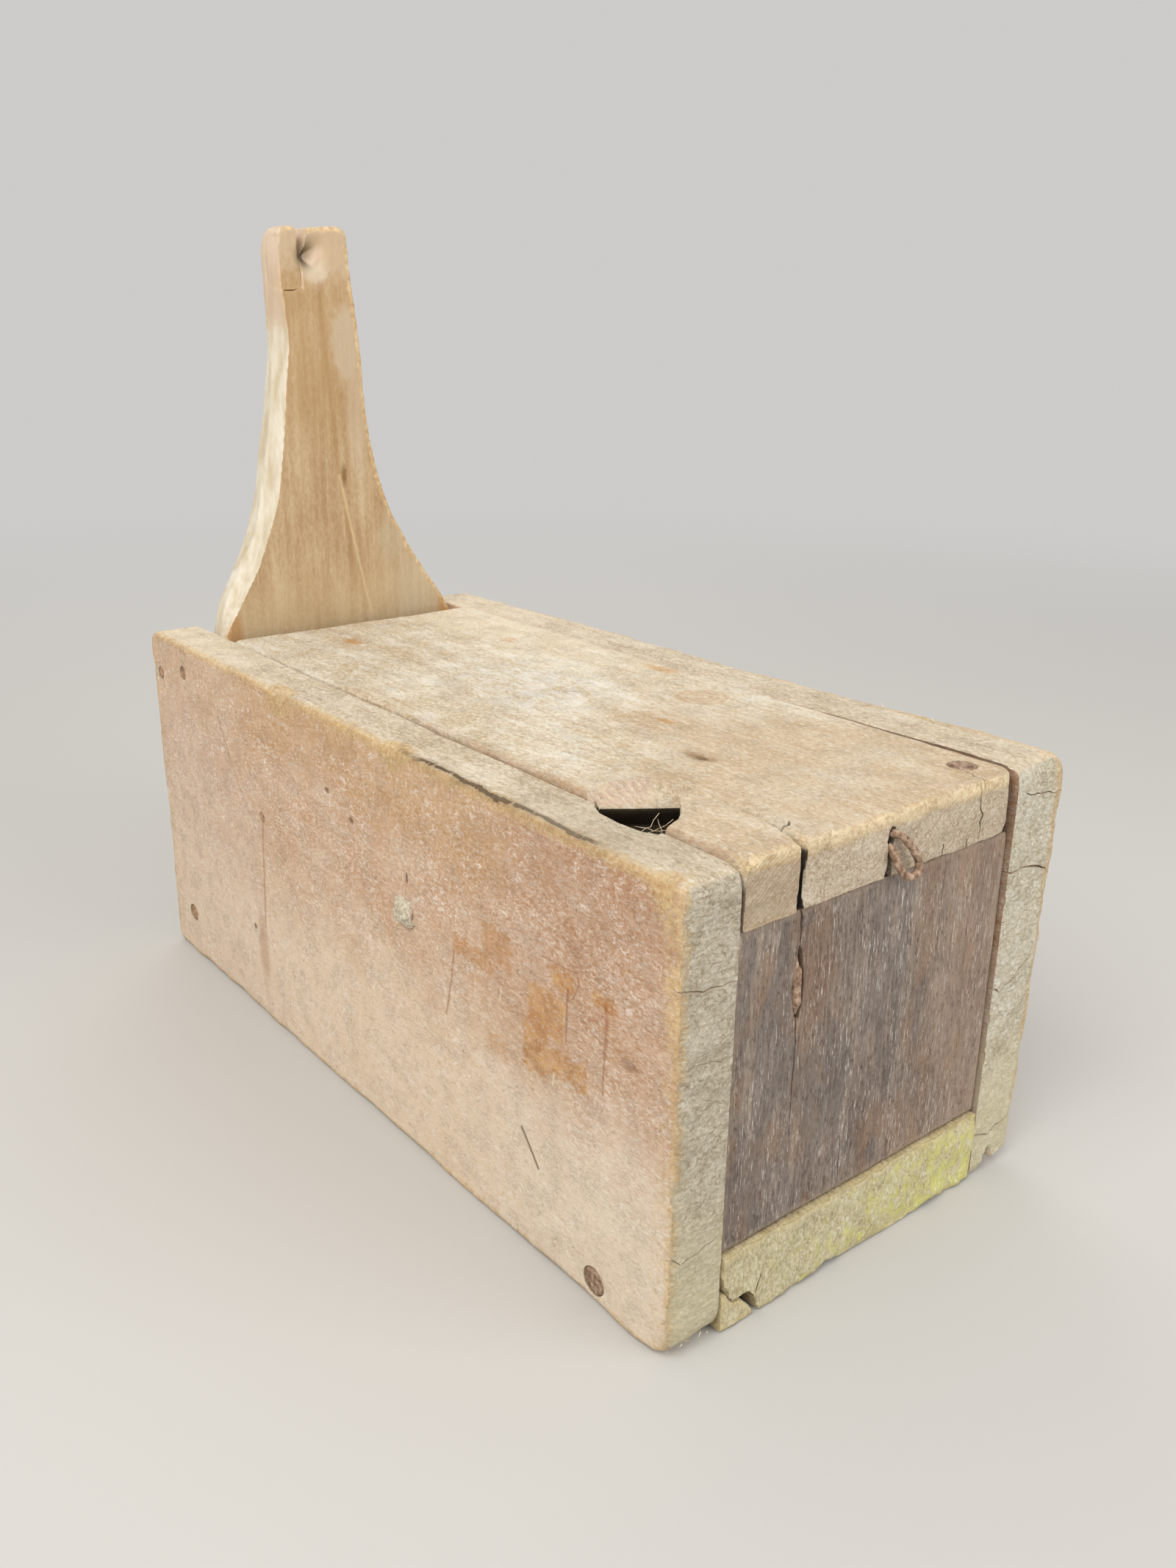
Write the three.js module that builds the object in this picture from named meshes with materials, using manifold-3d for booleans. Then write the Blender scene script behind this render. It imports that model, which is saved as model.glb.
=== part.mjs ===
// A wooden box trap: five nailed boards round a low tunnel, closed at the near end by a dark
// panel and at the far end by a tall drop door that lifts between four guide battens.
// Millimetres, +Z up. X is the width, Y the length, the closed end is at -Y and the door at +Y.
// The origin is on the ground, at the middle of the box body.
import * as THREE from "three";
import { mergeVertices } from "three/addons/utils/BufferGeometryUtils.js";
import Module from "manifold-3d";

const wasm = await Module();
wasm.setup();

// Driving dimensions
const BODY_WIDTH = 155; // over both side boards
const BODY_LENGTH = 325;
const SIDE_HEIGHT = 140; // one plank width, 5 1/2 in
const LEFT_THICKNESS = 19.5;
const RIGHT_THICKNESS = 21.5;
const BOTTOM_THICKNESS = 25;
const TOP_THICKNESS = 19.3;
const TOP_NEAR_LIFT = 2; // the top board stands this much higher at the closed end
const TOP_FAR_END = 126.5; // the top board stops short of the door
const PANEL_THICKNESS = 20;
const PANEL_RECESS = 2; // how far the closed end sits inside the side boards
const DOOR_THICKNESS = 12.5;
const DOOR_NEAR_FACE = 137.2;
const DOOR_TOP = 296.4;
const DOOR_CLEARANCE = 0.8; // to the boards and battens it slides between
const BATTEN_WIDTH = 10;
const BATTEN_THICKNESS = 9.2;
const BATTEN_TOP = 134;
const TRIGGER_HOLE = { x: -50.5, y: -118, radius: 13 };
const GAP = 0.3; // left between pieces that touch
const NAIL_CLEARANCE = 0.3;

// Places worked out from them
const LEFT_FACE = -BODY_WIDTH / 2;
const RIGHT_FACE = BODY_WIDTH / 2;
const LEFT_INNER = LEFT_FACE + LEFT_THICKNESS;
const RIGHT_INNER = RIGHT_FACE - RIGHT_THICKNESS;
const NEAR_END = -BODY_LENGTH / 2;
const FAR_END = BODY_LENGTH / 2;
const TOP_UNDERSIDE = SIDE_HEIGHT - TOP_THICKNESS; // at its far end
const FLOOR = BOTTOM_THICKNESS + GAP;
const DOOR_FAR_FACE = DOOR_NEAR_FACE + DOOR_THICKNESS;
const TOP_TILT = Math.atan2(TOP_NEAR_LIFT, TOP_FAR_END - NEAR_END);
const NEAR_UNDERSIDE = TOP_UNDERSIDE + TOP_NEAR_LIFT;
const NEAR_TOP = SIDE_HEIGHT + TOP_NEAR_LIFT;
const PANEL_FRONT = NEAR_END + PANEL_RECESS;
const PANEL_MIDDLE = PANEL_FRONT + PANEL_THICKNESS / 2;

// Materials
const wood = (color, roughness = 0.85) => new THREE.MeshStandardMaterial({ color, roughness });
const sideWood = wood(0xc09a78);
const topWood = wood(0xcdb48f);
const doorWood = wood(0xb98f5f, 0.75);
const panelWood = wood(0x6b5a50);
const bottomWood = wood(0xa39a6c);
const battenWood = wood(0xa88560);
const rustyIron = new THREE.MeshStandardMaterial({ color: 0x5c4436, roughness: 0.8, metalness: 0.4 });

const trap = new THREE.Group();

function addPiece(name, geometry, material) {
  const mesh = new THREE.Mesh(geometry, material);
  mesh.name = name;
  trap.add(mesh);
  return mesh;
}

// Outlines are drawn in the plane that shows them best and extruded through their thickness.
function outline(points) {
  return new THREE.Shape(points.map(([a, b]) => new THREE.Vector2(a, b)));
}

function extrude(shape, depth, curveSegments = 6) {
  return new THREE.ExtrudeGeometry(shape, { depth, bevelEnabled: false, curveSegments });
}

// Outline in X and Y, extruded up from z.
function planSlab(shape, z, height) {
  return extrude(shape, height).translate(0, 0, z);
}

// Outline in Y and Z, extruded towards +X from x.
function sideSlab(shape, x, width) {
  const axes = new THREE.Matrix4().makeBasis(
    new THREE.Vector3(0, 1, 0),
    new THREE.Vector3(0, 0, 1),
    new THREE.Vector3(1, 0, 0),
  );
  return extrude(shape, width).applyMatrix4(axes).translate(x, 0, 0);
}

// Outline in X and Z, extruded from y0 to y1.
function frontSlab(shape, y0, y1) {
  const axes = new THREE.Matrix4().makeBasis(
    new THREE.Vector3(1, 0, 0),
    new THREE.Vector3(0, 0, 1),
    new THREE.Vector3(0, -1, 0),
  );
  return extrude(shape, y1 - y0).applyMatrix4(axes).translate(0, y1, 0);
}

function block(x0, x1, y0, y1, z0, z1) {
  const box = new THREE.BoxGeometry(x1 - x0, y1 - y0, z1 - z0);
  return box.translate((x0 + x1) / 2, (y0 + y1) / 2, (z0 + z1) / 2);
}

function roundedOutline(a0, a1, b0, b1, [r00, r10, r11, r01]) {
  const shape = new THREE.Shape();
  shape.moveTo(a0 + r00, b0);
  shape.lineTo(a1 - r10, b0);
  shape.absarc(a1 - r10, b0 + r10, r10, -Math.PI / 2, 0);
  shape.lineTo(a1, b1 - r11);
  shape.absarc(a1 - r11, b1 - r11, r11, 0, Math.PI / 2);
  shape.lineTo(a0 + r01, b1);
  shape.absarc(a0 + r01, b1 - r01, r01, Math.PI / 2, Math.PI);
  shape.lineTo(a0, b0 + r00);
  shape.absarc(a0 + r00, b0 + r00, r00, Math.PI, Math.PI * 1.5);
  return shape;
}

function toManifold(geometry) {
  const bare = geometry.clone();
  bare.deleteAttribute("normal");
  bare.deleteAttribute("uv");
  const merged = mergeVertices(bare, 1e-3);
  return new wasm.Manifold(new wasm.Mesh({
    numProp: 3,
    vertProperties: Float32Array.from(merged.attributes.position.array),
    triVerts: Uint32Array.from(merged.index.array),
  }));
}

function carve(geometry, cutters) {
  const solid = cutters.reduce((left, cutter) => left.subtract(toManifold(cutter)), toManifold(geometry));
  const mesh = solid.getMesh();
  const result = new THREE.BufferGeometry();
  result.setAttribute("position", new THREE.BufferAttribute(mesh.vertProperties, 3));
  result.setIndex(new THREE.BufferAttribute(mesh.triVerts, 1));
  result.computeVertexNormals();
  return result;
}

// Nails. A straight nail is a turned shape with the top of its head at the origin, pointing down.
function nailGeometry(length, shank, head, headHeight, grow = 0) {
  const profile = [
    [0, -length - grow],
    [shank + grow, -length + 4 * shank],
    [shank + grow, -headHeight - grow],
    [head + grow, -headHeight - grow],
    [head + grow, grow ? headHeight : 0],
    [0, grow ? headHeight : 0],
  ];
  return new THREE.LatheGeometry(profile.map(([r, y]) => new THREE.Vector2(r, y)), 10);
}

const DOWN = new THREE.Vector3(0, -1, 0);
const FASTENERS = {
  nail: { length: 50, shank: 1.5, head: 4.4, headHeight: 1.2 },
  brad: { length: 24, shank: 0.9, head: 2.2, headHeight: 0.8 },
  stub: { length: 17, shank: 1.5, head: 3.6, headHeight: 1.2 },
  sunk: { length: 46, shank: 1.5, head: 2.6, headHeight: 1.2 },
};

const nails = [];

function drive(name, kind, head, towards, boards) {
  nails.push({ name, size: FASTENERS[kind], head, towards, boards });
}

function turnTowards(nail) {
  const direction = new THREE.Vector3(...nail.towards).normalize();
  return new THREE.Quaternion().setFromUnitVectors(DOWN, direction);
}

function placeNail(geometry, nail) {
  return geometry.applyQuaternion(turnTowards(nail)).translate(...nail.head);
}

function nailHoles(board) {
  return nails.filter((nail) => nail.boards.includes(board)).map((nail) => {
    const { length, shank, head, headHeight } = nail.size;
    return placeNail(nailGeometry(length, shank, head, headHeight, NAIL_CLEARANCE), nail);
  });
}

// Through the top board into the closed end
drive("top_nail_right", "nail", [46, -148.5, NEAR_TOP - 0.6], [0, 0, -1], ["top_board", "back_panel"]);
drive("top_nail_left", "sunk", [-34.6, -151, NEAR_TOP - 4], [0.02, -0.16, -1],
  ["top_board", "top_board_split_piece", "back_panel"]);

// Up through the bottom board into the closed end
for (const [side, x] of [["left", -25], ["right", 28]]) {
  drive(`bottom_nail_${side}`, "nail", [x, PANEL_MIDDLE, 0.2], [0, 0, 1], ["bottom_board", "back_panel"]);
}

// Through each side board into the bottom board and the guide battens
for (const side of ["left", "right"]) {
  const inward = side === "left" ? 1 : -1;
  const face = side === "left" ? LEFT_FACE : RIGHT_FACE;
  const battenFace = side === "left" ? LEFT_INNER + GAP + BATTEN_WIDTH : RIGHT_INNER - GAP - BATTEN_WIDTH;
  const board = `${side}_side_board`;
  const headX = face + inward * 0.2;
  const through = [
    ["bottom_near", "nail", -130.7, 7, [board, "bottom_board", "bottom_board_broken_corner"]],
    ["bottom_far", "nail", 143.7, 19, [board, "bottom_board"]],
    ["guide_near", "stub", 131.8, 128.4, [board]],
    ["guide_far", "stub", 155.2, 123.5, [board]],
  ];
  for (const [place, kind, y, z, boards] of through) {
    drive(`${side}_nail_${place}`, kind, [headX, y, z], [inward, 0, 0], boards);
  }
  for (const [place, y] of [["near", 131.8], ["far", 155.2]]) {
    const batten = `door_guide_${side}_${place}`;
    drive(`${batten}_brad`, "brad", [battenFace - inward * 0.1, y, 48], [-inward, 0, 0], [board, batten]);
  }
}
drive("left_nail_stub", "stub", [LEFT_FACE + 0.2, 67.9, 86.6], [1, 0, 0], ["left_side_board"]);

// The bent nail: out of the top board's end grain, down in a loop and back to the wood.
const BENT_NAIL_HOLE = { x: 0.4, z: 135.2 };
const bentNailPath = new THREE.CatmullRomCurve3([
  [BENT_NAIL_HOLE.x, -143, BENT_NAIL_HOLE.z],
  [BENT_NAIL_HOLE.x, -154, BENT_NAIL_HOLE.z],
  [0.6, NEAR_END - 1.2, BENT_NAIL_HOLE.z - 0.2],
  [4.4, NEAR_END - 3.2, 131.4],
  [7.8, NEAR_END - 3.4, 126.4],
  [8.6, NEAR_END - 3.2, 122.4],
  [6.0, NEAR_END - 2.8, 120.6],
  [2.6, NEAR_END - 1.9, 122.2],
].map((point) => new THREE.Vector3(...point)));
const bentNailSection = new THREE.Shape().absarc(0, 0, 1.4, 0, 2 * Math.PI);
addPiece("top_nail_middle_bent", new THREE.ExtrudeGeometry(bentNailSection, {
  extrudePath: bentNailPath,
  steps: 28,
  curveSegments: 4,
}), rustyIron);
const bentNailChannel = new THREE.CylinderGeometry(2, 2, 24, 10)
  .translate(BENT_NAIL_HOLE.x, -152, BENT_NAIL_HOLE.z);
const bentNailSplit = block(-1.4, 1.8, NEAR_END - 1, NEAR_END + 4, NEAR_UNDERSIDE - 3, BENT_NAIL_HOLE.z);

// The trigger hole: bored straight down on the joint of top board and left side board, with a
// slanting cut on the door side of its rim for the notch of the trigger stick.
const hole = TRIGGER_HOLE;
const triggerBore = new THREE.CylinderGeometry(hole.radius, hole.radius, 36, 28)
  .rotateX(Math.PI / 2)
  .translate(hole.x, hole.y, SIDE_HEIGHT - 8);
const triggerBevel = new THREE.CylinderGeometry(17, 9.6, 8, 28)
  .rotateX(Math.PI / 2)
  .translate(hole.x + 1.5, hole.y + 3, SIDE_HEIGHT + 1);

// Side boards
const leftOutline = roundedOutline(NEAR_END, FAR_END, 0, SIDE_HEIGHT, [9, 4, 5, 4]);
addPiece("left_side_board", carve(
  sideSlab(leftOutline, LEFT_FACE, LEFT_THICKNESS),
  [triggerBore, ...nailHoles("left_side_board")],
), sideWood);

const rightOutline = roundedOutline(NEAR_END, FAR_END, 0, SIDE_HEIGHT, [3, 4, 4, 6]);
const rightChip = frontSlab(outline([[61.5, -1], [68.5, -1], [67.5, 5], [65.5, 9], [63.5, 6]]),
  NEAR_END - 1, NEAR_END + 14);
const rightWornCorner = frontSlab(outline([[68, -1], [79, -1], [79, 13], [74, 3.6], [68, 2.4]]),
  NEAR_END - 1, NEAR_END + 20);
addPiece("right_side_board", carve(
  sideSlab(rightOutline, RIGHT_INNER, RIGHT_THICKNESS),
  [rightChip, rightWornCorner, ...nailHoles("right_side_board")],
), sideWood);

// Top board, with the piece that has split off along a crack from its near end to the hole.
// Each point of the crack is x, y and the width of the gap there.
const CRACK = [
  [-37.3, -163, 2.0],
  [-35.6, -155.6, 1.2],
  [-34.2, -150, 0.8],
  [-33.2, -139, 0.6],
  [-31.8, -128.5, 0.6],
  [-34.8, -118.2, 0.6],
];
const crackEdge = (side) => CRACK.map(([x, y, width]) => [x + side * width / 2, Math.max(y, NEAR_END)]);
const HOLE_ROW = -118.2; // the split ends in the middle of the trigger hole

function tiltedTop(shape) {
  return planSlab(shape, 0, TOP_THICKNESS)
    .translate(0, -TOP_FAR_END, 0)
    .rotateX(-TOP_TILT)
    .translate(0, TOP_FAR_END, TOP_UNDERSIDE);
}

const TOP_CORNER = 7;
const topOutline = new THREE.Shape();
const [firstCrackPoint, ...otherCrackPoints] = crackEdge(1);
topOutline.moveTo(...firstCrackPoint);
topOutline.lineTo(RIGHT_INNER - GAP - TOP_CORNER, NEAR_END);
topOutline.absarc(RIGHT_INNER - GAP - TOP_CORNER, NEAR_END + TOP_CORNER, TOP_CORNER, -Math.PI / 2, 0);
topOutline.lineTo(RIGHT_INNER - GAP, TOP_FAR_END);
topOutline.lineTo(LEFT_INNER + GAP, TOP_FAR_END);
topOutline.lineTo(LEFT_INNER + GAP, HOLE_ROW + GAP);
for (const [x, y] of otherCrackPoints.reverse()) topOutline.lineTo(x, y === HOLE_ROW ? y + GAP : y);
addPiece("top_board", carve(
  tiltedTop(topOutline),
  [triggerBore, triggerBevel, bentNailChannel, bentNailSplit, ...nailHoles("top_board")],
), topWood);

const splitOutline = outline([
  [LEFT_INNER + GAP, NEAR_END],
  ...crackEdge(-1),
  [LEFT_INNER + GAP, HOLE_ROW],
]);
addPiece("top_board_split_piece", carve(
  tiltedTop(splitOutline),
  [triggerBore, triggerBevel, ...nailHoles("top_board_split_piece")],
), topWood);

// Closed end, with the slot where the wood has burst off one of the nails
const nailSlot = block(-36.4, -31.8, PANEL_FRONT - 1, PANEL_FRONT + 5, 90, NEAR_UNDERSIDE);
addPiece("back_panel", carve(
  block(LEFT_INNER + GAP, RIGHT_INNER - GAP, PANEL_FRONT, PANEL_FRONT + PANEL_THICKNESS,
    FLOOR, NEAR_UNDERSIDE - GAP - 0.3),
  [nailSlot, bentNailSplit, ...nailHoles("back_panel")],
), panelWood);

// Bottom board, with a broken corner that its nail has split off
const CORNER_LENGTH = 54;
const cornerBreak = frontSlab(outline([
  [LEFT_INNER - 1, -1],
  [-43.9, -1],
  [-43.6, 1],
  [-46, 8.5],
  [-50.5, 9.6],
  [-54.4, 9],
  [-57.7, 19],
  [LEFT_INNER - 1, 19],
]), NEAR_END - 1, NEAR_END + CORNER_LENGTH);
addPiece("bottom_board", carve(
  block(LEFT_INNER + GAP, RIGHT_INNER - GAP, NEAR_END, FAR_END, 0, BOTTOM_THICKNESS),
  [cornerBreak, ...nailHoles("bottom_board")],
), bottomWood);
addPiece("bottom_board_broken_corner", carve(
  frontSlab(outline([
    [LEFT_INNER + GAP, 0],
    [-44.5, 0],
    [-46.6, 4.2],
    [-50.2, 7.6],
    [-54.4, 8.4],
    [-56, 12],
    [LEFT_INNER + GAP, 12.6],
  ]), NEAR_END, NEAR_END + CORNER_LENGTH - 1),
  nailHoles("bottom_board_broken_corner"),
), bottomWood);

// Guide battens in front of and behind the door, nailed to the inside of the side boards
for (const [side, x0] of [["left", LEFT_INNER + GAP], ["right", RIGHT_INNER - GAP - BATTEN_WIDTH]]) {
  const places = [
    ["near", DOOR_NEAR_FACE - DOOR_CLEARANCE - BATTEN_THICKNESS],
    ["far", DOOR_FAR_FACE + DOOR_CLEARANCE],
  ];
  for (const [place, y0] of places) {
    const name = `door_guide_${side}_${place}`;
    addPiece(name, carve(
      block(x0, x0 + BATTEN_WIDTH, y0, y0 + BATTEN_THICKNESS, FLOOR, BATTEN_TOP),
      nailHoles(name),
    ), battenWood);
  }
}

// Drop door: full width inside the box, then curving in to a narrow neck with a cord notch
const doorLeft = LEFT_INNER + DOOR_CLEARANCE;
const doorRight = RIGHT_INNER - DOOR_CLEARANCE;
const toVectors = (points) => points.map(([x, z]) => new THREE.Vector2(x, z));
const rightFlank = new THREE.SplineCurve(toVectors([
  [doorRight, 133], [45.9, 149], [32.4, 168.6], [20.8, 191.7], [14.6, 220], [12.2, 252], [8.7, 288],
]));
const leftFlank = new THREE.SplineCurve(toVectors([
  [-23.4, 288], [-23, 262], [-26.5, 232], [-32.6, 198], [-40.4, 173.7], [-51, 153.5], [doorLeft, 136],
]));
const doorOutline = new THREE.Shape();
doorOutline.moveTo(doorLeft, FLOOR);
doorOutline.lineTo(doorRight, FLOOR);
for (const point of rightFlank.getPoints(18)) doorOutline.lineTo(point.x, point.y);
doorOutline.quadraticCurveTo(8.6, DOOR_TOP, 1.5, DOOR_TOP);
doorOutline.lineTo(-16.5, DOOR_TOP);
doorOutline.quadraticCurveTo(-23, DOOR_TOP, -23.4, 288);
for (const point of leftFlank.getPoints(18).slice(1)) doorOutline.lineTo(point.x, point.y);
const cordSlot = block(-12.2, -10.2, DOOR_NEAR_FACE - 1, DOOR_FAR_FACE + 1, 286, DOOR_TOP + 1);
const cordHole = new THREE.CylinderGeometry(2.6, 2.6, DOOR_THICKNESS + 2, 14)
  .translate(-9.6, (DOOR_NEAR_FACE + DOOR_FAR_FACE) / 2, 285.6);
addPiece("drop_door", carve(
  frontSlab(doorOutline, DOOR_NEAR_FACE, DOOR_FAR_FACE),
  [cordSlot, cordHole],
), doorWood);

for (const nail of nails) {
  const { length, shank, head, headHeight } = nail.size;
  const mesh = addPiece(nail.name, nailGeometry(length, shank, head, headHeight), rustyIron);
  mesh.quaternion.copy(turnTowards(nail));
  mesh.position.set(...nail.head);
}

export default trap;
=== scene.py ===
import functools
import itertools
import math

import bmesh
import bpy
import numpy as np
from mathutils import Matrix, Vector


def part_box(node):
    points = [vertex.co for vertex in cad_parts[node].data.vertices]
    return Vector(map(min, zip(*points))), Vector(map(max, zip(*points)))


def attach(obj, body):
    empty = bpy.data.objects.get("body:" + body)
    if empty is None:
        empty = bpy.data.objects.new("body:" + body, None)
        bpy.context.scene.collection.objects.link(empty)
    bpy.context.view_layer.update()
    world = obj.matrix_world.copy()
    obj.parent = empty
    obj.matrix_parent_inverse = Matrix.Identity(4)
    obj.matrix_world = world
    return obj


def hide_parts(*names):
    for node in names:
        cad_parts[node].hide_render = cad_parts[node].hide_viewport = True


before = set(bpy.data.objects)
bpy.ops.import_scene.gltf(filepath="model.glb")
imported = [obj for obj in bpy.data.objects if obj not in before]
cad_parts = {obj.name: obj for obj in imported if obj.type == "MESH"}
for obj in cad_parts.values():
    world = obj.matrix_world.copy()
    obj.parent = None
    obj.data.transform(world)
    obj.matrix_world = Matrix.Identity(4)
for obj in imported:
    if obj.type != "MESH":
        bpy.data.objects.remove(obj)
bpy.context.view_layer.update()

MM = 0.001
PLANES = {"YZ": (1, 2, 0), "XY": (0, 1, 2), "XZ": (0, 2, 1)}  # an outline's two axes, then its depth
SHARP_ANGLE = math.radians(48)
SMALLEST_RADIUS = 0.3
WEAR_REACH = 3.2  # how far an arris looks worn


# ---- noise over points in millimetres ----

def hashed(i, j, k, seed):
    mask = np.uint64(0xFFFFFFFF)
    h = np.zeros(i.shape, np.uint64)
    for value, factor in ((i, 73856093), (j, 19349663), (k, 83492791)):
        h ^= (value.astype(np.uint64) & mask) * np.uint64(factor) & mask
    h ^= np.uint64((seed * 2654435761) & 0xFFFFFFFF)
    for shift, factor in ((15, 2246822519), (13, 3266489917)):
        h = (h ^ (h >> np.uint64(shift))) * np.uint64(factor) & mask
    h ^= h >> np.uint64(16)
    return (h & np.uint64(0xFFFFFF)).astype(float) / 0xFFFFFF * 2 - 1


def noise(p, size, seed):
    q = p / np.asarray(size, float)
    cell = np.floor(q).astype(np.int64)
    f = q - cell
    f = f * f * (3 - 2 * f)
    total = np.zeros(len(p))
    for corner in itertools.product((0, 1), repeat=3):
        weight = np.prod(np.where(corner, f, 1 - f), axis=1)
        total += weight * hashed(*(cell + corner).T, seed)
    return total


def fbm(p, size, seed, octaves=3):
    size = np.asarray(size, float)
    return sum(noise(p, size / 2 ** n, seed + 31 * n) / 2 ** n for n in range(octaves))


def step(value, low, high):
    t = np.clip((value - low) / (high - low), 0, 1)
    return t * t * (3 - 2 * t)


# ---- meshes ----

def new_object(name, data):
    obj = bpy.data.objects.new(name, data)
    bpy.context.scene.collection.objects.link(obj)
    return obj


def mesh_object(name, points, faces):
    """A new object from points in millimetres, its faces turned outwards."""
    mesh = bpy.data.meshes.new(name)
    mesh.from_pydata([tuple(c * MM for c in point) for point in points], [], faces)
    work = bmesh.new()
    work.from_mesh(mesh)
    bmesh.ops.recalc_face_normals(work, faces=work.faces)
    work.to_mesh(mesh)
    work.free()
    return new_object(name, mesh)


def ring_faces(rows, n):
    """The faces of a skin over rows of n points, with a cap at each end."""
    faces = [tuple(range(n)), tuple(range((rows - 1) * n, rows * n))]
    for row in range(0, (rows - 1) * n, n):
        for i in range(n):
            j = (i + 1) % n
            faces.append((row + i, row + j, row + n + j, row + n + i))
    return faces


def loft(name, outlines, plane, levels):
    """Outlines of equal length, stacked at their levels along the plane's third axis."""
    a, b, c = PLANES[plane]
    points = []
    for outline, level in zip(outlines, levels):
        for u, v in outline:
            point = [0.0, 0.0, 0.0]
            point[a], point[b], point[c] = u, v, level
            points.append(point)
    return mesh_object(name, points, ring_faces(len(levels), len(outlines[0])))


def prism(outline, plane, low, high, name="prism"):
    return loft(name, [outline, outline], plane, [low, high])


def hull(points):
    mesh = bpy.data.meshes.new("hull")
    work = bmesh.new()
    for point in points:
        work.verts.new([c * MM for c in point])
    made = bmesh.ops.convex_hull(work, input=work.verts)
    inner = [v for v in made["geom_interior"] if isinstance(v, bmesh.types.BMVert)]
    bmesh.ops.delete(work, geom=inner, context="VERTS")
    bmesh.ops.recalc_face_normals(work, faces=work.faces)
    work.to_mesh(mesh)
    work.free()
    return new_object("hull", mesh)


def arc(cu, cv, radius, start, end, count=7):
    turns = np.radians(np.linspace(start, end, count))
    return [(cu + radius * math.cos(t), cv + radius * math.sin(t)) for t in turns]


def rounded_box(u0, u1, v0, v1, radii):
    r00, r10, r11, r01 = radii
    return (arc(u0 + r00, v0 + r00, r00, 180, 270) + arc(u1 - r10, v0 + r10, r10, 270, 360)
            + arc(u1 - r11, v1 - r11, r11, 0, 90) + arc(u0 + r01, v1 - r01, r01, 90, 180))


def apply_modifiers(obj):
    graph = bpy.context.evaluated_depsgraph_get()
    mesh = bpy.data.meshes.new_from_object(obj.evaluated_get(graph))
    obj.modifiers.clear()
    old, obj.data = obj.data, mesh
    mesh.name = obj.name
    bpy.data.meshes.remove(old)


def combine(obj, tools, operation="DIFFERENCE"):
    for tool in tools:
        change = obj.modifiers.new("combine", "BOOLEAN")
        change.operation = operation
        change.solver = "MANIFOLD"
        change.object = tool
    if tools:
        apply_modifiers(obj)
    for tool in tools:
        bpy.data.objects.remove(tool)


def remesh(obj, voxel):
    change = obj.modifiers.new("remesh", "REMESH")
    change.mode = "VOXEL"
    change.voxel_size = voxel * MM
    apply_modifiers(obj)


def get_points(obj):
    values = np.empty(len(obj.data.vertices) * 3)
    obj.data.vertices.foreach_get("co", values)
    return values.reshape(-1, 3) / MM


def get_normals(obj):
    values = np.empty(len(obj.data.vertices) * 3)
    obj.data.vertex_normals.foreach_get("vector", values)
    return values.reshape(-1, 3)


def set_points(obj, points):
    obj.data.vertices.foreach_set("co", (points * MM).ravel())
    obj.data.update()


def set_attribute(obj, name, values):
    data = obj.data.attributes.new(name, "FLOAT", "POINT")
    data.data.foreach_set("value", values.astype(np.float32))


def outline_depth(q, outline):
    """How far each point is inside the outline's nearest side, and that side's inward direction."""
    corners = np.asarray(outline, float)
    ends = np.roll(corners, -1, axis=0)
    area = np.sum(corners[:, 0] * ends[:, 1] - ends[:, 0] * corners[:, 1])
    best = np.full(len(q), np.inf)
    inward = np.zeros((len(q), 2))
    for start, end in zip(corners, ends):
        side = end - start
        length = np.hypot(*side)
        if length < 1e-9:
            continue
        t = np.clip((q - start) @ side / length ** 2, 0, 1)
        away = np.hypot(*(q - start - t[:, None] * side).T)
        closer = away < best
        best = np.where(closer, away, best)
        normal = np.array([-side[1], side[0]]) / length * (1 if area > 0 else -1)
        inward[closer] = normal
    return best, inward


def round_arrises(p, outline, plane, low, high, radius):
    """Pulls the points near a prism's long edges onto an arc of that radius."""
    a, b, c = PLANES[plane]
    depth, inward = outline_depth(p[:, [a, b]], outline)
    lower = p[:, c] - low < high - p[:, c]
    wall = np.where(lower, p[:, c] - low, high - p[:, c])
    r = radius(p, lower)
    da, db = r - depth, r - wall
    reach = np.hypot(da, db)
    near = (da > 0) & (db > 0) & (reach > r)
    pull = np.where(near, 1 - r / np.maximum(reach, 1e-9), 0)
    p = p.copy()
    p[:, a] += inward[:, 0] * da * pull
    p[:, b] += inward[:, 1] * da * pull
    p[:, c] += np.where(lower, 1, -1) * db * pull
    return p


def edge_wear(p, outline, plane, low, high):
    """1 on a prism's long edges, falling to 0 over several millimetres."""
    a, b, c = PLANES[plane]
    depth = outline_depth(p[:, [a, b]], outline)[0]
    wall = np.minimum(np.abs(p[:, c] - low), np.abs(high - p[:, c]))
    return np.exp(-(np.hypot(depth, wall) / WEAR_REACH) ** 2)


def wedge(points, side, into, widths, depths):
    """A crack: a V-shaped cutter along points on a surface. into points into the wood."""
    points = [Vector(point) for point in points]
    side, into = Vector(side).normalized(), Vector(into).normalized()
    out = 2.0
    rows = []
    for point, width, depth in zip(points, widths, depths):
        half = width / 2 * (depth + out) / max(depth, 0.1)
        top = point - into * out
        rows += [top - side * half, top + side * half, point + into * depth]
    return mesh_object("wedge", rows, ring_faces(len(points), 3))


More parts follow.
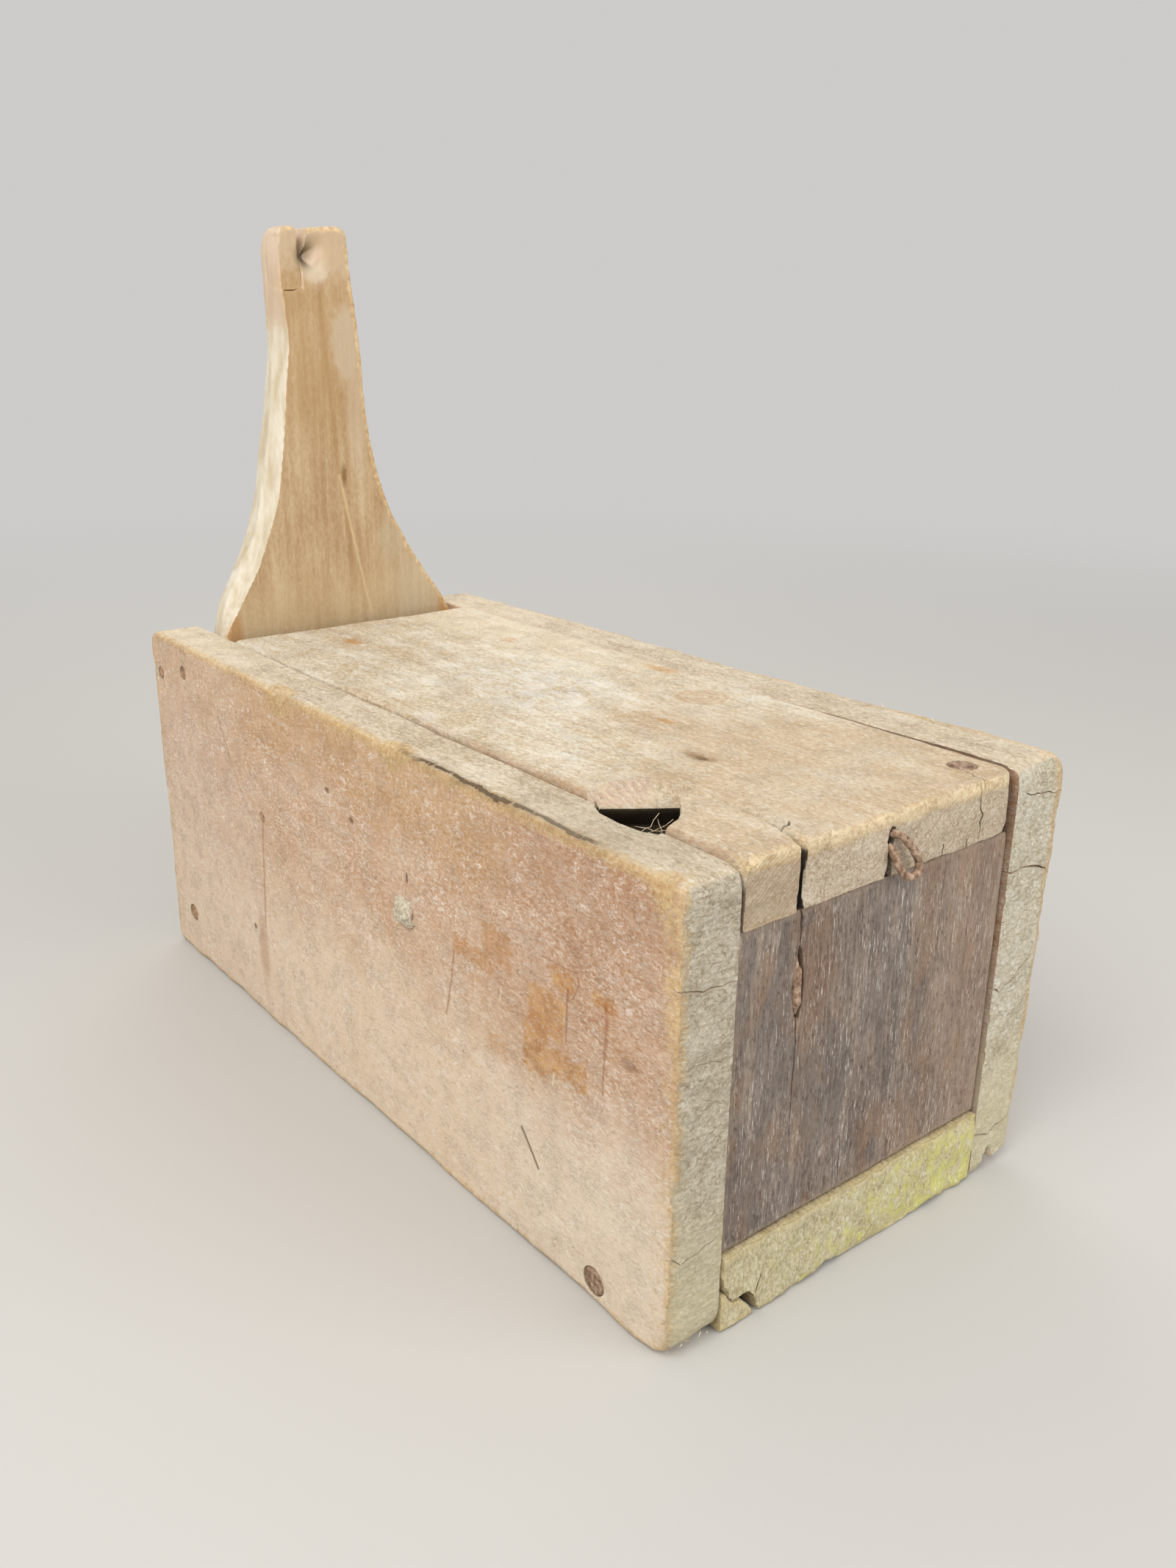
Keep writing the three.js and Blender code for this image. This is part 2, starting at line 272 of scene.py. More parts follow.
def crack(points, into, width, depth, seed, side=(0, 0, 1), jag=0.35, per=2.0):
    """A wandering crack through points, about width wide where it is widest."""
    random = np.random.default_rng(seed)
    path, widths = [], []
    knots = [Vector(point) for point in points]
    total = sum((b - a).length for a, b in zip(knots, knots[1:]))
    run = 0.0
    for a, b in zip(knots, knots[1:]):
        length = (b - a).length
        count = max(2, int(length / per))
        for i in range(count):
            t = i / count
            shift = Vector(side) * float(random.normal(0, jag)) if i or run else Vector()
            path.append(a.lerp(b, t) + shift)
            widths.append(run + t * length)
        run += length
    path.append(knots[-1])
    widths.append(total)
    shape = [max(0.12, width * math.sin(math.pi * min(0.97, 0.25 + 0.72 * w / total)) ** 0.7
                 * (0.8 + 0.4 * random.random())) for w in widths]
    return wedge(path, side, into, shape, [max(0.6, depth * s / width) for s in shape])


def tube(name, centres, radii, sides=12, seed=0, rough=0.0):
    """A round bar along centres, with closed ends."""
    centres = [Vector(c) for c in centres]
    points, n = [], len(centres)
    normal = None
    for i, centre in enumerate(centres):
        along = (centres[min(i + 1, n - 1)] - centres[max(i - 1, 0)]).normalized()
        if normal is None:
            normal = along.orthogonal().normalized()
        normal = (normal - along * normal.dot(along)).normalized()
        other = along.cross(normal)
        for j in range(sides):
            t = 2 * math.pi * j / sides
            points.append(centre + (normal * math.cos(t) + other * math.sin(t)) * radii[i])
    obj = mesh_object(name, points, ring_faces(n, sides))
    if rough:
        p = get_points(obj)
        set_points(obj, p + get_normals(obj) * (rough * fbm(p, 1.6, seed, 2))[:, None])
    return obj


# ---- node materials: numbers and sockets in millimetres ----

def rgb(text):
    channels = [int(text[i:i + 2], 16) / 255 for i in (0, 2, 4)]
    return [c / 12.92 if c <= 0.04045 else ((c + 0.055) / 1.055) ** 2.4 for c in channels] + [1.0]


class Value:
    """An output socket that arithmetic works on."""

    def __init__(self, graph, socket):
        self.graph, self.socket = graph, socket


def operator(operation, swapped):
    if swapped:
        return lambda self, other: self.graph.math(operation, other, self)
    return lambda self, other: self.graph.math(operation, self, other)


for verb, operation in (("add", "ADD"), ("sub", "SUBTRACT"), ("mul", "MULTIPLY"), ("truediv", "DIVIDE")):
    setattr(Value, f"__{verb}__", operator(operation, False))
    setattr(Value, f"__r{verb}__", operator(operation, True))


class Graph:
    """A material being made. colour is what has been laid down so far, and tint lays more over it."""

    def __init__(self, name, roughness=0.85, metallic=0.0):
        self.material = bpy.data.materials.new(name)
        self.material.use_nodes = True
        self.tree = self.material.node_tree
        self.tree.nodes.clear()
        output = self.node("ShaderNodeOutputMaterial")
        self.shader = self.node("ShaderNodeBsdfPrincipled")
        self.shader.inputs["Roughness"].default_value = roughness
        self.shader.inputs["Metallic"].default_value = metallic
        self.shader.inputs["Specular IOR Level"].default_value = 0.25
        self.tree.links.new(self.shader.outputs[0], output.inputs["Surface"])
        place = self.node("ShaderNodeTexCoord")
        self.point = self.vector("SCALE", place.outputs["Object"], scale=1 / MM)
        self.x, self.y, self.z = self.split(self.point)
        self.nx, self.ny, self.nz = self.split(place.outputs["Normal"])

    def node(self, kind, **settings):
        made = self.tree.nodes.new(kind)
        for key, value in settings.items():
            setattr(made, key, value)
        return made

    def put(self, value, socket):
        if isinstance(value, Value):
            self.tree.links.new(value.socket, socket)
        elif isinstance(value, bpy.types.NodeSocket):
            self.tree.links.new(value, socket)
        else:
            socket.default_value = value

    def math(self, operation, *values):
        made = self.node("ShaderNodeMath", operation=operation)
        for value, socket in zip(values, made.inputs):
            self.put(value, socket)
        return Value(self, made.outputs[0])

    def vector(self, operation, a, b=None, scale=None):
        made = self.node("ShaderNodeVectorMath", operation=operation)
        self.put(a, made.inputs[0])
        if b is not None:
            self.put(b, made.inputs[1])
        if scale is not None:
            self.put(scale, made.inputs["Scale"])
        return Value(self, made.outputs[0])

    def split(self, vector):
        made = self.node("ShaderNodeSeparateXYZ")
        self.put(vector, made.inputs[0])
        return [Value(self, socket) for socket in made.outputs]

    def noise(self, size, seed=0.0, detail=3.0, rough=0.55, distortion=0.0):
        """Smooth noise from 0 to 1 with features of about that size, one number or one for each axis."""
        sizes = (size,) * 3 if isinstance(size, (int, float)) else size
        scaled = self.vector("MULTIPLY", self.point, [1 / s for s in sizes])
        moved = self.vector("ADD", scaled, (seed * 17.3, seed * 5.1, seed * 9.7))
        made = self.node("ShaderNodeTexNoise")
        self.put(moved, made.inputs["Vector"])
        made.inputs["Scale"].default_value = 1
        made.inputs["Detail"].default_value = detail
        made.inputs["Roughness"].default_value = rough
        made.inputs["Distortion"].default_value = distortion
        return Value(self, made.outputs[0])

    def smooth(self, value, low, high):
        """0 where value is at low, 1 where it is at high, smooth between."""
        made = self.node("ShaderNodeMapRange", interpolation_type="SMOOTHSTEP")
        self.put(value, made.inputs["Value"])
        made.inputs["From Min"].default_value = min(low, high)
        made.inputs["From Max"].default_value = max(low, high)
        made.inputs["To Min"].default_value = 0.0 if low < high else 1.0
        made.inputs["To Max"].default_value = 1.0 if low < high else 0.0
        return Value(self, made.outputs[0])

    def mix(self, factor, a, b, blend="MIX"):
        made = self.node("ShaderNodeMix", data_type="RGBA", blend_type=blend)
        self.put(factor, made.inputs[0])
        self.put(rgb(a) if isinstance(a, str) else a, made.inputs[6])
        self.put(rgb(b) if isinstance(b, str) else b, made.inputs[7])
        return Value(self, made.outputs[2])

    def tint(self, mask, tone):
        self.colour = self.mix(mask, self.colour, tone)

    def ramp(self, value, stops):
        made = self.node("ShaderNodeValToRGB")
        elements = made.color_ramp.elements
        stops = list(stops)
        while len(elements) < len(stops):
            elements.new(0.5)
        for element, (position, colour) in zip(elements, stops):
            element.position = position
            element.color = rgb(colour)
        self.put(value, made.inputs[0])
        return Value(self, made.outputs[0])

    def patches(self, size, seed, low, high, detail=3.0, rough=0.55):
        return self.smooth(self.noise(size, seed, detail, rough), low, high)

    def grown(self, value, size, seed, amount):
        """A mask's value with its limit made ragged."""
        return value + (self.noise(size, seed, detail=5, rough=0.62) - 0.5) * amount

    def ragged(self, value, low, high, size, seed, amount):
        return self.smooth(self.grown(value, size, seed, amount), low, high)

    def attribute(self, name):
        made = self.node("ShaderNodeAttribute", attribute_name=name)
        return Value(self, made.outputs["Fac"])

    def absolute(self, value):
        return self.math("ABSOLUTE", value)

    def least(self, *values):
        return functools.reduce(lambda a, b: self.math("MINIMUM", a, b), values)

    def most(self, *values):
        return functools.reduce(lambda a, b: self.math("MAXIMUM", a, b), values)

    def length(self, u, v):
        return self.math("SQRT", u * u + v * v)

    def spot(self, u, v, centre, radii, ragged=0.0, soft=0.35, seed=0.0, size=6.0):
        """1 inside an ellipse, with a soft and ragged rim."""
        away = self.length((u - centre[0]) / radii[0], (v - centre[1]) / radii[1])
        if ragged:
            away = away + (self.noise(size, seed=seed, detail=4) - 0.5) * ragged
        return self.smooth(away, 1 + soft, 1 - soft)

    def stroke(self, u, v, points, width, soft=0.5, wander=0.0, seed=0.0):
        """1 along a line through points, width across, with soft sides."""
        if wander:
            shift = self.noise(5.0, seed=seed, detail=2) - 0.5
            u, v = u + shift * wander, v - shift * wander
        distances = []
        for (u0, v0), (u1, v1) in zip(points, points[1:]):
            du, dv = u1 - u0, v1 - v0
            square = du * du + dv * dv
            t = self.math("MULTIPLY", (u - u0) * (du / square) + (v - v0) * (dv / square), 1.0)
            t.socket.node.use_clamp = True
            distances.append(self.length(u - u0 - t * du, v - v0 - t * dv))
        return self.smooth(self.least(*distances), width / 2 + soft, max(width / 2 - soft, 0.0))

    def finish(self, height=None):
        self.put(self.colour, self.shader.inputs["Base Color"])
        if height is not None:
            bump = self.node("ShaderNodeBump")
            bump.inputs["Distance"].default_value = MM
            bump.inputs["Strength"].default_value = 1.0
            self.put(height, bump.inputs["Height"])
            self.tree.links.new(bump.outputs[0], self.shader.inputs["Normal"])
        return self.material


# ---- camera, floor and lights ----

CAMERA_PLACE = (-0.27117, -0.36421, 0.26564)
CAMERA_TURN = [math.radians(angle) for angle in (-39.07, 19.72, 0.79)]  # azimuth, elevation, roll
CAMERA_LENS, CAMERA_SENSOR = 30.19, 36
BACKDROP = (0.61, 0.6, 0.585, 1)
FLOOR_TONE = "c4c2be"
FLOOR_REACH, FLOOR_LEVEL = 40000, -0.3
FLOOR_FADE = (350, 1500)


def make_camera():
    azimuth, elevation, roll = CAMERA_TURN
    back = Vector((math.sin(azimuth) * math.cos(elevation), -math.cos(azimuth) * math.cos(elevation),
                   math.sin(elevation)))
    right = Vector((math.cos(azimuth), math.sin(azimuth), 0))
    up = back.cross(right)
    turned = right * math.cos(roll) + up * math.sin(roll)
    raised = up * math.cos(roll) - right * math.sin(roll)
    data = bpy.data.cameras.new("camera")
    data.sensor_width = CAMERA_SENSOR
    data.lens = CAMERA_LENS
    data.clip_start = 0.01
    camera = new_object("camera", data)
    axes = Matrix((turned, raised, back)).transposed().to_4x4()
    camera.matrix_world = Matrix.Translation(CAMERA_PLACE) @ axes
    bpy.context.scene.camera = camera


def make_light(name, place, target, size, power, colour=(1, 1, 1)):
    data = bpy.data.lights.new(name, "AREA")
    data.shape = "SQUARE"
    data.size = size
    data.energy = power
    data.color = colour
    light = new_object(name, data)
    light.location = place
    light.rotation_euler = (Vector(target) - Vector(place)).to_track_quat("-Z", "Y").to_euler()


def make_stage():
    """A wide pale floor whose tone runs into the backdrop's, and three soft lights."""
    corners = [(x * FLOOR_REACH, y * FLOOR_REACH, FLOOR_LEVEL)
               for x, y in ((-1, -1), (1, -1), (1, 1), (-1, 1))]
    floor = mesh_object("floor", corners, [(0, 1, 2, 3)])
    paint = Graph("floor_paint", roughness=0.9)
    away = paint.smooth(paint.length(paint.x, paint.y), *FLOOR_FADE)
    paint.shader.inputs["Specular IOR Level"].default_value = 0
    paint.put(paint.mix(away, FLOOR_TONE, "000000"), paint.shader.inputs["Base Color"])
    paint.put(BACKDROP, paint.shader.inputs["Emission Color"])
    paint.put(away, paint.shader.inputs["Emission Strength"])
    floor.data.materials.append(paint.material)
    world = bpy.data.worlds.new("world")
    world.use_nodes = True
    background = world.node_tree.nodes["Background"]
    background.inputs["Color"].default_value = BACKDROP
    background.inputs["Strength"].default_value = 1.0
    bpy.context.scene.world = world
    make_light("key", (-0.75, -0.35, 1.05), (0, 0, 0.08), 0.8, 11, (1, 0.985, 0.96))
    make_light("fill", (0.45, -1.15, 0.55), (0, 0, 0.1), 0.9, 7.5)
    make_light("back", (0.5, 1.0, 0.9), (0, 0, 0.1), 0.9, 4)
    bpy.context.scene.view_settings.view_transform = "Standard"


make_camera()
make_stage()

# ---- sizes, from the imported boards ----

def extent(node):
    low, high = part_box(node)
    return [c / MM for c in low], [c / MM for c in high]


(LEFT, NEAR, _), (LEFT_INNER, FAR, HEIGHT) = extent("left_side_board")
(RIGHT_INNER, _, _), (RIGHT, _, _) = extent("right_side_board")
(BOARD_LEFT, _, _), (BOARD_RIGHT, _, _) = extent("bottom_board")
TOP_FAR = extent("top_board")[1][1]
TOP_UNDER, TOP_OVER = 120.7, 140.0  # at the top board's far end
TILT = 2 / (TOP_FAR - NEAR)
(_, DOOR_NEAR, _), (_, DOOR_FAR, _) = extent("drop_door")
MIDDLE_VOXEL = 1.25

made = []


def adopt(obj, body, nodes, material):
    obj.data.materials.clear()
    obj.data.materials.append(material)
    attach(obj, body)
    if nodes:
        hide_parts(*nodes)
    made.append(obj)


def dent(p, centre, radius, depth):
    away = np.linalg.norm(p - np.asarray(centre), axis=1)
    return depth * np.exp(-(away / radius) ** 2)


def hole_cutters():
    """The whittled trigger hole: the hole itself and the slanting notch seat on its door side."""
    rim = [(-60.2, -107.2), (-62.4, -112), (-63.0, -121), (-62.2, -129), (-60.2, -133.2), (-56.2, -132.8),
           (-51.4, -131), (-47.8, -128.2), (-45.2, -125.4), (-41.8, -121.4), (-39.2, -118.6),
           (-37.0, -116.6), (-46, -110.2), (-55.3, -103.6), (-57.8, -104.6)]
    undercut = [0] * 9 + [0.3, 0.6, 1, 1, 1, 0.5]
    under = [(x + 6 * s, y + 9 * s) for (x, y), s in zip(rim, undercut)]
    through = loft("through", [under, under, rim, rim], "XY", [100, 128, 137.4, 152])
    seat = [(-55.6, -103.4, 136.6), (-46, -110.4, 136.4), (-36.8, -116.8, 136.8)]
    brow = [(-58.5, -103.5), (-55, -100.6), (-50.5, -98.6), (-46, -98.0), (-41.4, -99.2), (-38.2, -103.2),
            (-36.4, -107.5), (-35.2, -112.5), (-36.0, -116.4)]
    surface, lift, flare = 142.4, 4.0, 0.16
    for x, y in brow:
        seat.append((x, y, surface))
        seat.append((x + (x + 46) * flare * lift, y + (y + 112) * flare * lift, surface + lift))
    seat += [(-60.5, -107, 147), (-38, -121, 147)]
    return [through, hull(seat)]


def pocket(centre, axis, sign, radius, depth):
    """A round cutter for a nail's head, from outside the face to depth under it."""
    low = centre[axis] - 4 if sign < 0 else centre[axis] - depth
    high = centre[axis] + depth if sign < 0 else centre[axis] + 4
    plane = {0: "YZ", 1: "XZ", 2: "XY"}[axis]
    a, b, _ = PLANES[plane]
    ring = arc(centre[a], centre[b], radius, 0, 345, 24)
    return prism(ring, plane, low, high)


# ---- nails ----

def rust_material(name, tones, bloom):
    g = Graph(name, roughness=0.78, metallic=0.1)
    patches = g.noise(1.6, seed=3, detail=5, rough=0.65)
    g.colour = g.ramp(patches, zip((0.34, 0.45, 0.55, 0.68), tones))
    g.tint(g.patches(0.9, 8, 0.55, 0.75) * 0.5, bloom)
    return g.finish(g.noise(0.5, seed=4, detail=4) * 0.22 + patches * 0.25)


RUST = rust_material("rusty_iron", ("5f4a3b", "876d59", "a68b75", "c6ae98"), "9c6a46")
FAINT_RUST = rust_material("rusty_iron_faint", ("84644c", "a17d60", "b89375", "caa98b"), "a8764f")
# kinds by a word in the node's name: radius of the shank, radius and thickness of the head
NAIL_SHAPES = {"brad": (0.9, 2.2, 0.8), "guide": (1.4, 2.6, 1.0), "stub": (1.4, 1.9, 1.0),
               "bottom_far": (1.5, 3.6, 1.2), "nail": (1.5, 4.4, 1.2)}


def nail(node, seed):
    low, high = (np.array(v) for v in extent(node))
    axis = int(np.argmax(high - low))
    centre = (low + high) / 2
    kind = next(word for word in NAIL_SHAPES if word in node)
    shank, head, thick = NAIL_SHAPES[kind]
    inward = 1 if centre[0] < 0 else -1
    towards = {0: inward * (-1 if kind == "brad" else 1), 2: 1 if node.startswith("bottom") else -1}[axis]
    start = low[axis] if towards > 0 else high[axis]
    length = high[axis] - low[axis]
    profile = [(0.05, 0.02), (head * 0.45, 0.0), (head * 0.8, 0.1), (head * 0.96, 0.28), (head, 0.6),
               (head * 0.97, thick), (shank * 1.3, thick + 0.1), (shank, thick + 0.8),
               (shank, length * 0.3), (shank, length * 0.6), (shank, length - 4 * shank), (0.1, length)]
    sides, points = 28, []
    others = [i for i in range(3) if i != axis]
    for radius, depth in profile:
        for j in range(sides):
            t = 2 * math.pi * j / sides
            point = [0.0, 0.0, 0.0]
            point[axis] = start + towards * depth
            point[others[0]] = centre[others[0]] + radius * math.cos(t)
            point[others[1]] = centre[others[1]] + radius * math.sin(t)
            points.append(point)
    obj = mesh_object(f"{node}_iron", points, ring_faces(len(profile), sides))
    p = get_points(obj)
    near_head = np.abs(p[:, axis] - start) < thick + 0.2
    sideways = noise(p, 2.4, seed) * 0.22
    for other in others:
        moved = p[:, other] + (p[:, other] - centre[other]) * sideways * 0.3
        p[:, other] = np.where(near_head, moved, p[:, other])
    p[:, axis] += np.where(near_head, towards * (0.12 + 0.14 * noise(p, 1.5, seed + 5)), 0)
    set_points(obj, p)
    obj.data.shade_smooth()
    faint = node.startswith("left") and kind != "nail"
    adopt(obj, "box", [node], FAINT_RUST if faint else RUST)


def bent_nail():
    """Out of the end grain, down in a loop and back to the wood."""
    loop = [(-1.8, -0.4, 135.8), (-0.2, -2.0, 134.8), (2.6, -2.9, 131.6), (5.2, -3.1, 128.2),
            (6.3, -3.0, 125.2), (5.6, -2.9, 123.2), (3.4, -2.6, 122.8), (1.0, -2.2, 124.2),
            (-1.2, -1.6, 127.4), (-2.7, -1.0, 130.8), (-3.3, 0.6, 133.0)]
    points = [Vector((-1.6, -148, 135.6)), Vector((-1.8, -157, 135.8))]
    points += [Vector((x, NEAR + y, z)) for x, y, z in loop]
    path = []
    for i in range(len(points) - 1):
        a, b = points[max(i - 1, 0)], points[i]
        c, d = points[i + 1], points[min(i + 2, len(points) - 1)]
        for s in range(5):
            t = s / 5
            path.append(0.5 * (2 * b + (c - a) * t + (2 * a - 5 * b + 4 * c - d) * t * t
                               + (3 * b - a - 3 * c + d) * t ** 3))
    path.append(points[-1])
    count = len(path)
    radii = [1.15 * min(1, 0.55 + 0.12 * (count - 1 - i)) for i in range(count)]
    radii[0] = 0.6
    obj = tube("top_nail_middle_bent_iron", path, radii, sides=16, seed=6, rough=0.14)
    obj.data.shade_smooth()
    adopt(obj, "box", ["top_nail_middle_bent"], RUST)


def sunk_nail():
    knots = [Vector(k) for k in ((-34.6, -150.6, 138.0), (-34.5, -152.5, 124), (-34.2, -157.6, 109),
                                 (-33.9, -159.3, 103), (-33.5, -159.5, 91))]
    steps = 10
    path = [a.lerp(b, i / steps) for a, b in zip(knots, knots[1:]) for i in range(steps)] + knots[-1:]
    radii = [2.5, 2.6, 2.0] + [1.4] * (len(path) - 16) + [1.75] * 10 + [1.4, 1.0, 0.5]
    obj = tube("top_nail_left_iron", path, radii, sides=14, seed=12, rough=0.22)
    obj.data.shade_smooth()
    adopt(obj, "box", ["top_nail_left"], RUST)


for number, name in enumerate(sorted(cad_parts)):
    if name.endswith("brad") or "_nail_" in name and not name.startswith("top_nail"):
        nail(name, 40 + number)
nail("top_nail_right", 31)
bent_nail()
sunk_nail()


# ---- woods ----

def along(grain, across, length):
    """Noise sizes stretched along the grain axis."""
    return tuple(length if axis == grain else across for axis in range(3))


def even_stops(tones):
    return [(0.41 + 0.045 * i, tone) for i, tone in enumerate(tones)]


def weather(g, grain, seed, tones, fleck, line, curls=0.35):
    """Dry old wood: soft tones, fine grain lines, and pale curled fibres standing in patches."""
    fine = g.noise(along(grain, 0.35, 7), seed=seed, detail=3)
    middle = g.noise(along(grain, 2.2, 38), seed=seed + 1, detail=5, rough=0.6, distortion=0.3)
    fuzz = g.noise(along(grain, 0.9, 1.9), seed=seed + 2, detail=7, rough=0.74, distortion=0.5)
    patch = g.noise(along(grain, 17, 34), seed=seed + 3, detail=6, rough=0.6)
    tone = fuzz * 0.45 + middle * 0.2 + patch * 0.35
    colour = g.ramp(tone, even_stops(tones))
    colour = g.mix(g.smooth(fuzz, 0.53, 0.62) * 0.6, colour, fleck)
    colour = g.mix(g.smooth(fuzz, 0.46, 0.37) * 0.45, colour, line)
    colour = g.mix(g.smooth(fine, 0.56, 0.74) * 0.26, colour, line)
    curl = g.absolute(g.noise(along(grain, 1.7, 3.0), seed=seed + 7, detail=2, distortion=1.6) - 0.5)
    thick = g.patches(9, seed + 8, 0.46, 0.6, 4)
    fibre = g.smooth(curl, 0.03, 0.006) * thick
    colour = g.mix(fibre * curls, colour, fleck)
    height = fuzz * 0.55 + fine * 0.16 + middle * 0.12 + patch * 0.15 + fibre * curls * 0.35
    return colour, height, patch


def end_grain(g, tones, seed, marks, depth):
    """Rough sawn end grain: mottled, with short slanting marks."""
    slant = g.noise(marks, seed=seed, detail=6, rough=0.78, distortion=0.6)
    blotch = g.noise(9, seed=seed + 1, detail=6, rough=0.62)
    tone = slant * 0.75 + blotch * 0.25
    colour = g.ramp(tone, even_stops(tones))
    curl = g.absolute(g.noise([m * 1.5 for m in marks], seed=seed + 2, detail=2, distortion=1.2) - 0.5)
    colour = g.mix(g.smooth(curl, 0.03, 0.006) * 0.5, colour, "efe9d8")
    return colour, (slant * 0.8 + blotch * 0.4) * depth


OCHRE = [(0.36, "b88a58"), (0.48, "d3b07b"), (0.58, "e2c796"), (0.7, "f0e2bd")]


def ochre(g, seed):
    return g.ramp(g.noise(1.5, seed=seed, detail=6, rough=0.75), OCHRE)


SIDE_TONES = ["bd9171", "c9a282", "d2ae92", "d8baa1", "dec6b0"]
SIDE_TOP_TONES = ["b8a488", "c6b498", "d2c1a6", "dbcdb5", "e3d8c5"]


def side_material(name, seed, ends, features=None):
    g = Graph(name)
    g.colour, height, _ = weather(g, 1, seed, SIDE_TONES, "f3e5d5", "9a7051", 0.5)
    # paler and greyer towards the floor and the door, browner under the top arris
    low = g.ragged(g.z, 92, 28, 24, seed + 4, 60)
    g.tint(low * 0.76, "f2e3ca")
    far = g.ragged(g.y, 25, 130, 26, seed + 14, 90)
    g.tint(far * 0.5, "dcc8b6")
    high = g.ragged(g.z, 96, 130, 18, seed + 5, 50) * (1 - far * 0.6)
    middle = g.ragged(g.y, -110, -60, 20, seed + 21, 60)
    g.tint(middle * 0.2, "ecc79d")
    g.tint(high * 0.42, g.mix(middle, "bc8e69", "cda26a"))
    bits = g.noise((1.2, 2.6, 1.5), seed=seed + 18, detail=6, rough=0.8, distortion=1.1)
    where = g.patches(14, seed + 19, 0.4, 0.58, 5, 0.6)
    g.tint(g.smooth(bits, 0.52, 0.6) * (0.2 + where * 0.6), "f6eadd")
    g.tint(g.smooth(bits, 0.45, 0.36) * 0.35, "a87a5b")
    top = g.smooth(g.nz, 0.45, 0.8)
    over = weather(g, 1, seed + 20, SIDE_TOP_TONES, "ece2d0", "988565")[0]
    g.tint(top, over)
    g.tint(top * far * 0.4, "f3e3c8")
    end = g.smooth(g.absolute(g.ny), 0.5, 0.8)
    raw, raw_height = end_grain(g, ends, seed + 6, (1.7, 1.6, 1.2), 1.3)
    raw = g.mix(g.ragged(g.z, 66, 20, 16, seed + 15, 50) * 0.5, raw, "e0d5ab")
    g.tint(end, raw)
    height = height * (1 - end) + end * raw_height
    edge = g.attribute("edge")
    rim = g.ragged(edge, 0.35, 0.95, 4, seed + 9, 1.1)
    outer = g.smooth(g.absolute(g.x), 64, 72)
    g.tint(rim * outer * 0.6, ochre(g, seed + 8))
    near = g.smooth(g.absolute(g.y), 152, 159) * outer * (1 - end)
    stipple = g.patches(2.4, seed + 16, 0.48, 0.56, 6, 0.8)
    g.tint(near * stipple * 0.45, ochre(g, seed + 17))
    chip = g.attribute("chip")
    chip = g.ragged(chip, 0.35, 0.6, 3.5, seed + 10, 0.9)
    g.tint(chip * 0.7, ochre(g, seed + 11))
    height = height - chip * 0.4
    height = height + chip * g.noise(1.3, seed=seed + 12, detail=5) * 0.9
    height = height + rim * g.noise(1.6, seed=seed + 13) * 0.4
    if features:
        height = features(g, height)
    # painted shade: the side boards' inner faces darkened inside the box, more towards the ends, fading out
    # short of the door
    inside = g.smooth(g.absolute(g.nx), 0.5, 0.8) * g.smooth(g.absolute(g.x), 59.5, 57.5)
    inside = inside * (0.45 + g.smooth(g.absolute(g.y), 162, 155) * 0.35) * g.smooth(g.y, 122, 108)
    g.tint(inside, "5e4838")
    hole_shade_and_dirt(g)
    return g.finish(height)


def hole_shade_and_dirt(g):
    """Painted shade with some dirt: near-black on the walls of the trigger hole, under its notch seat."""
    away = g.length(g.x + 49.5, (g.y + 117.5) * 0.92)
    mask = g.smooth(away, 17.5, 16.0) * g.smooth(g.z, 139.4, 137.2) * g.smooth(g.absolute(g.nz), 0.75, 0.45)
    g.tint(mask * 0.97, "0c0907")


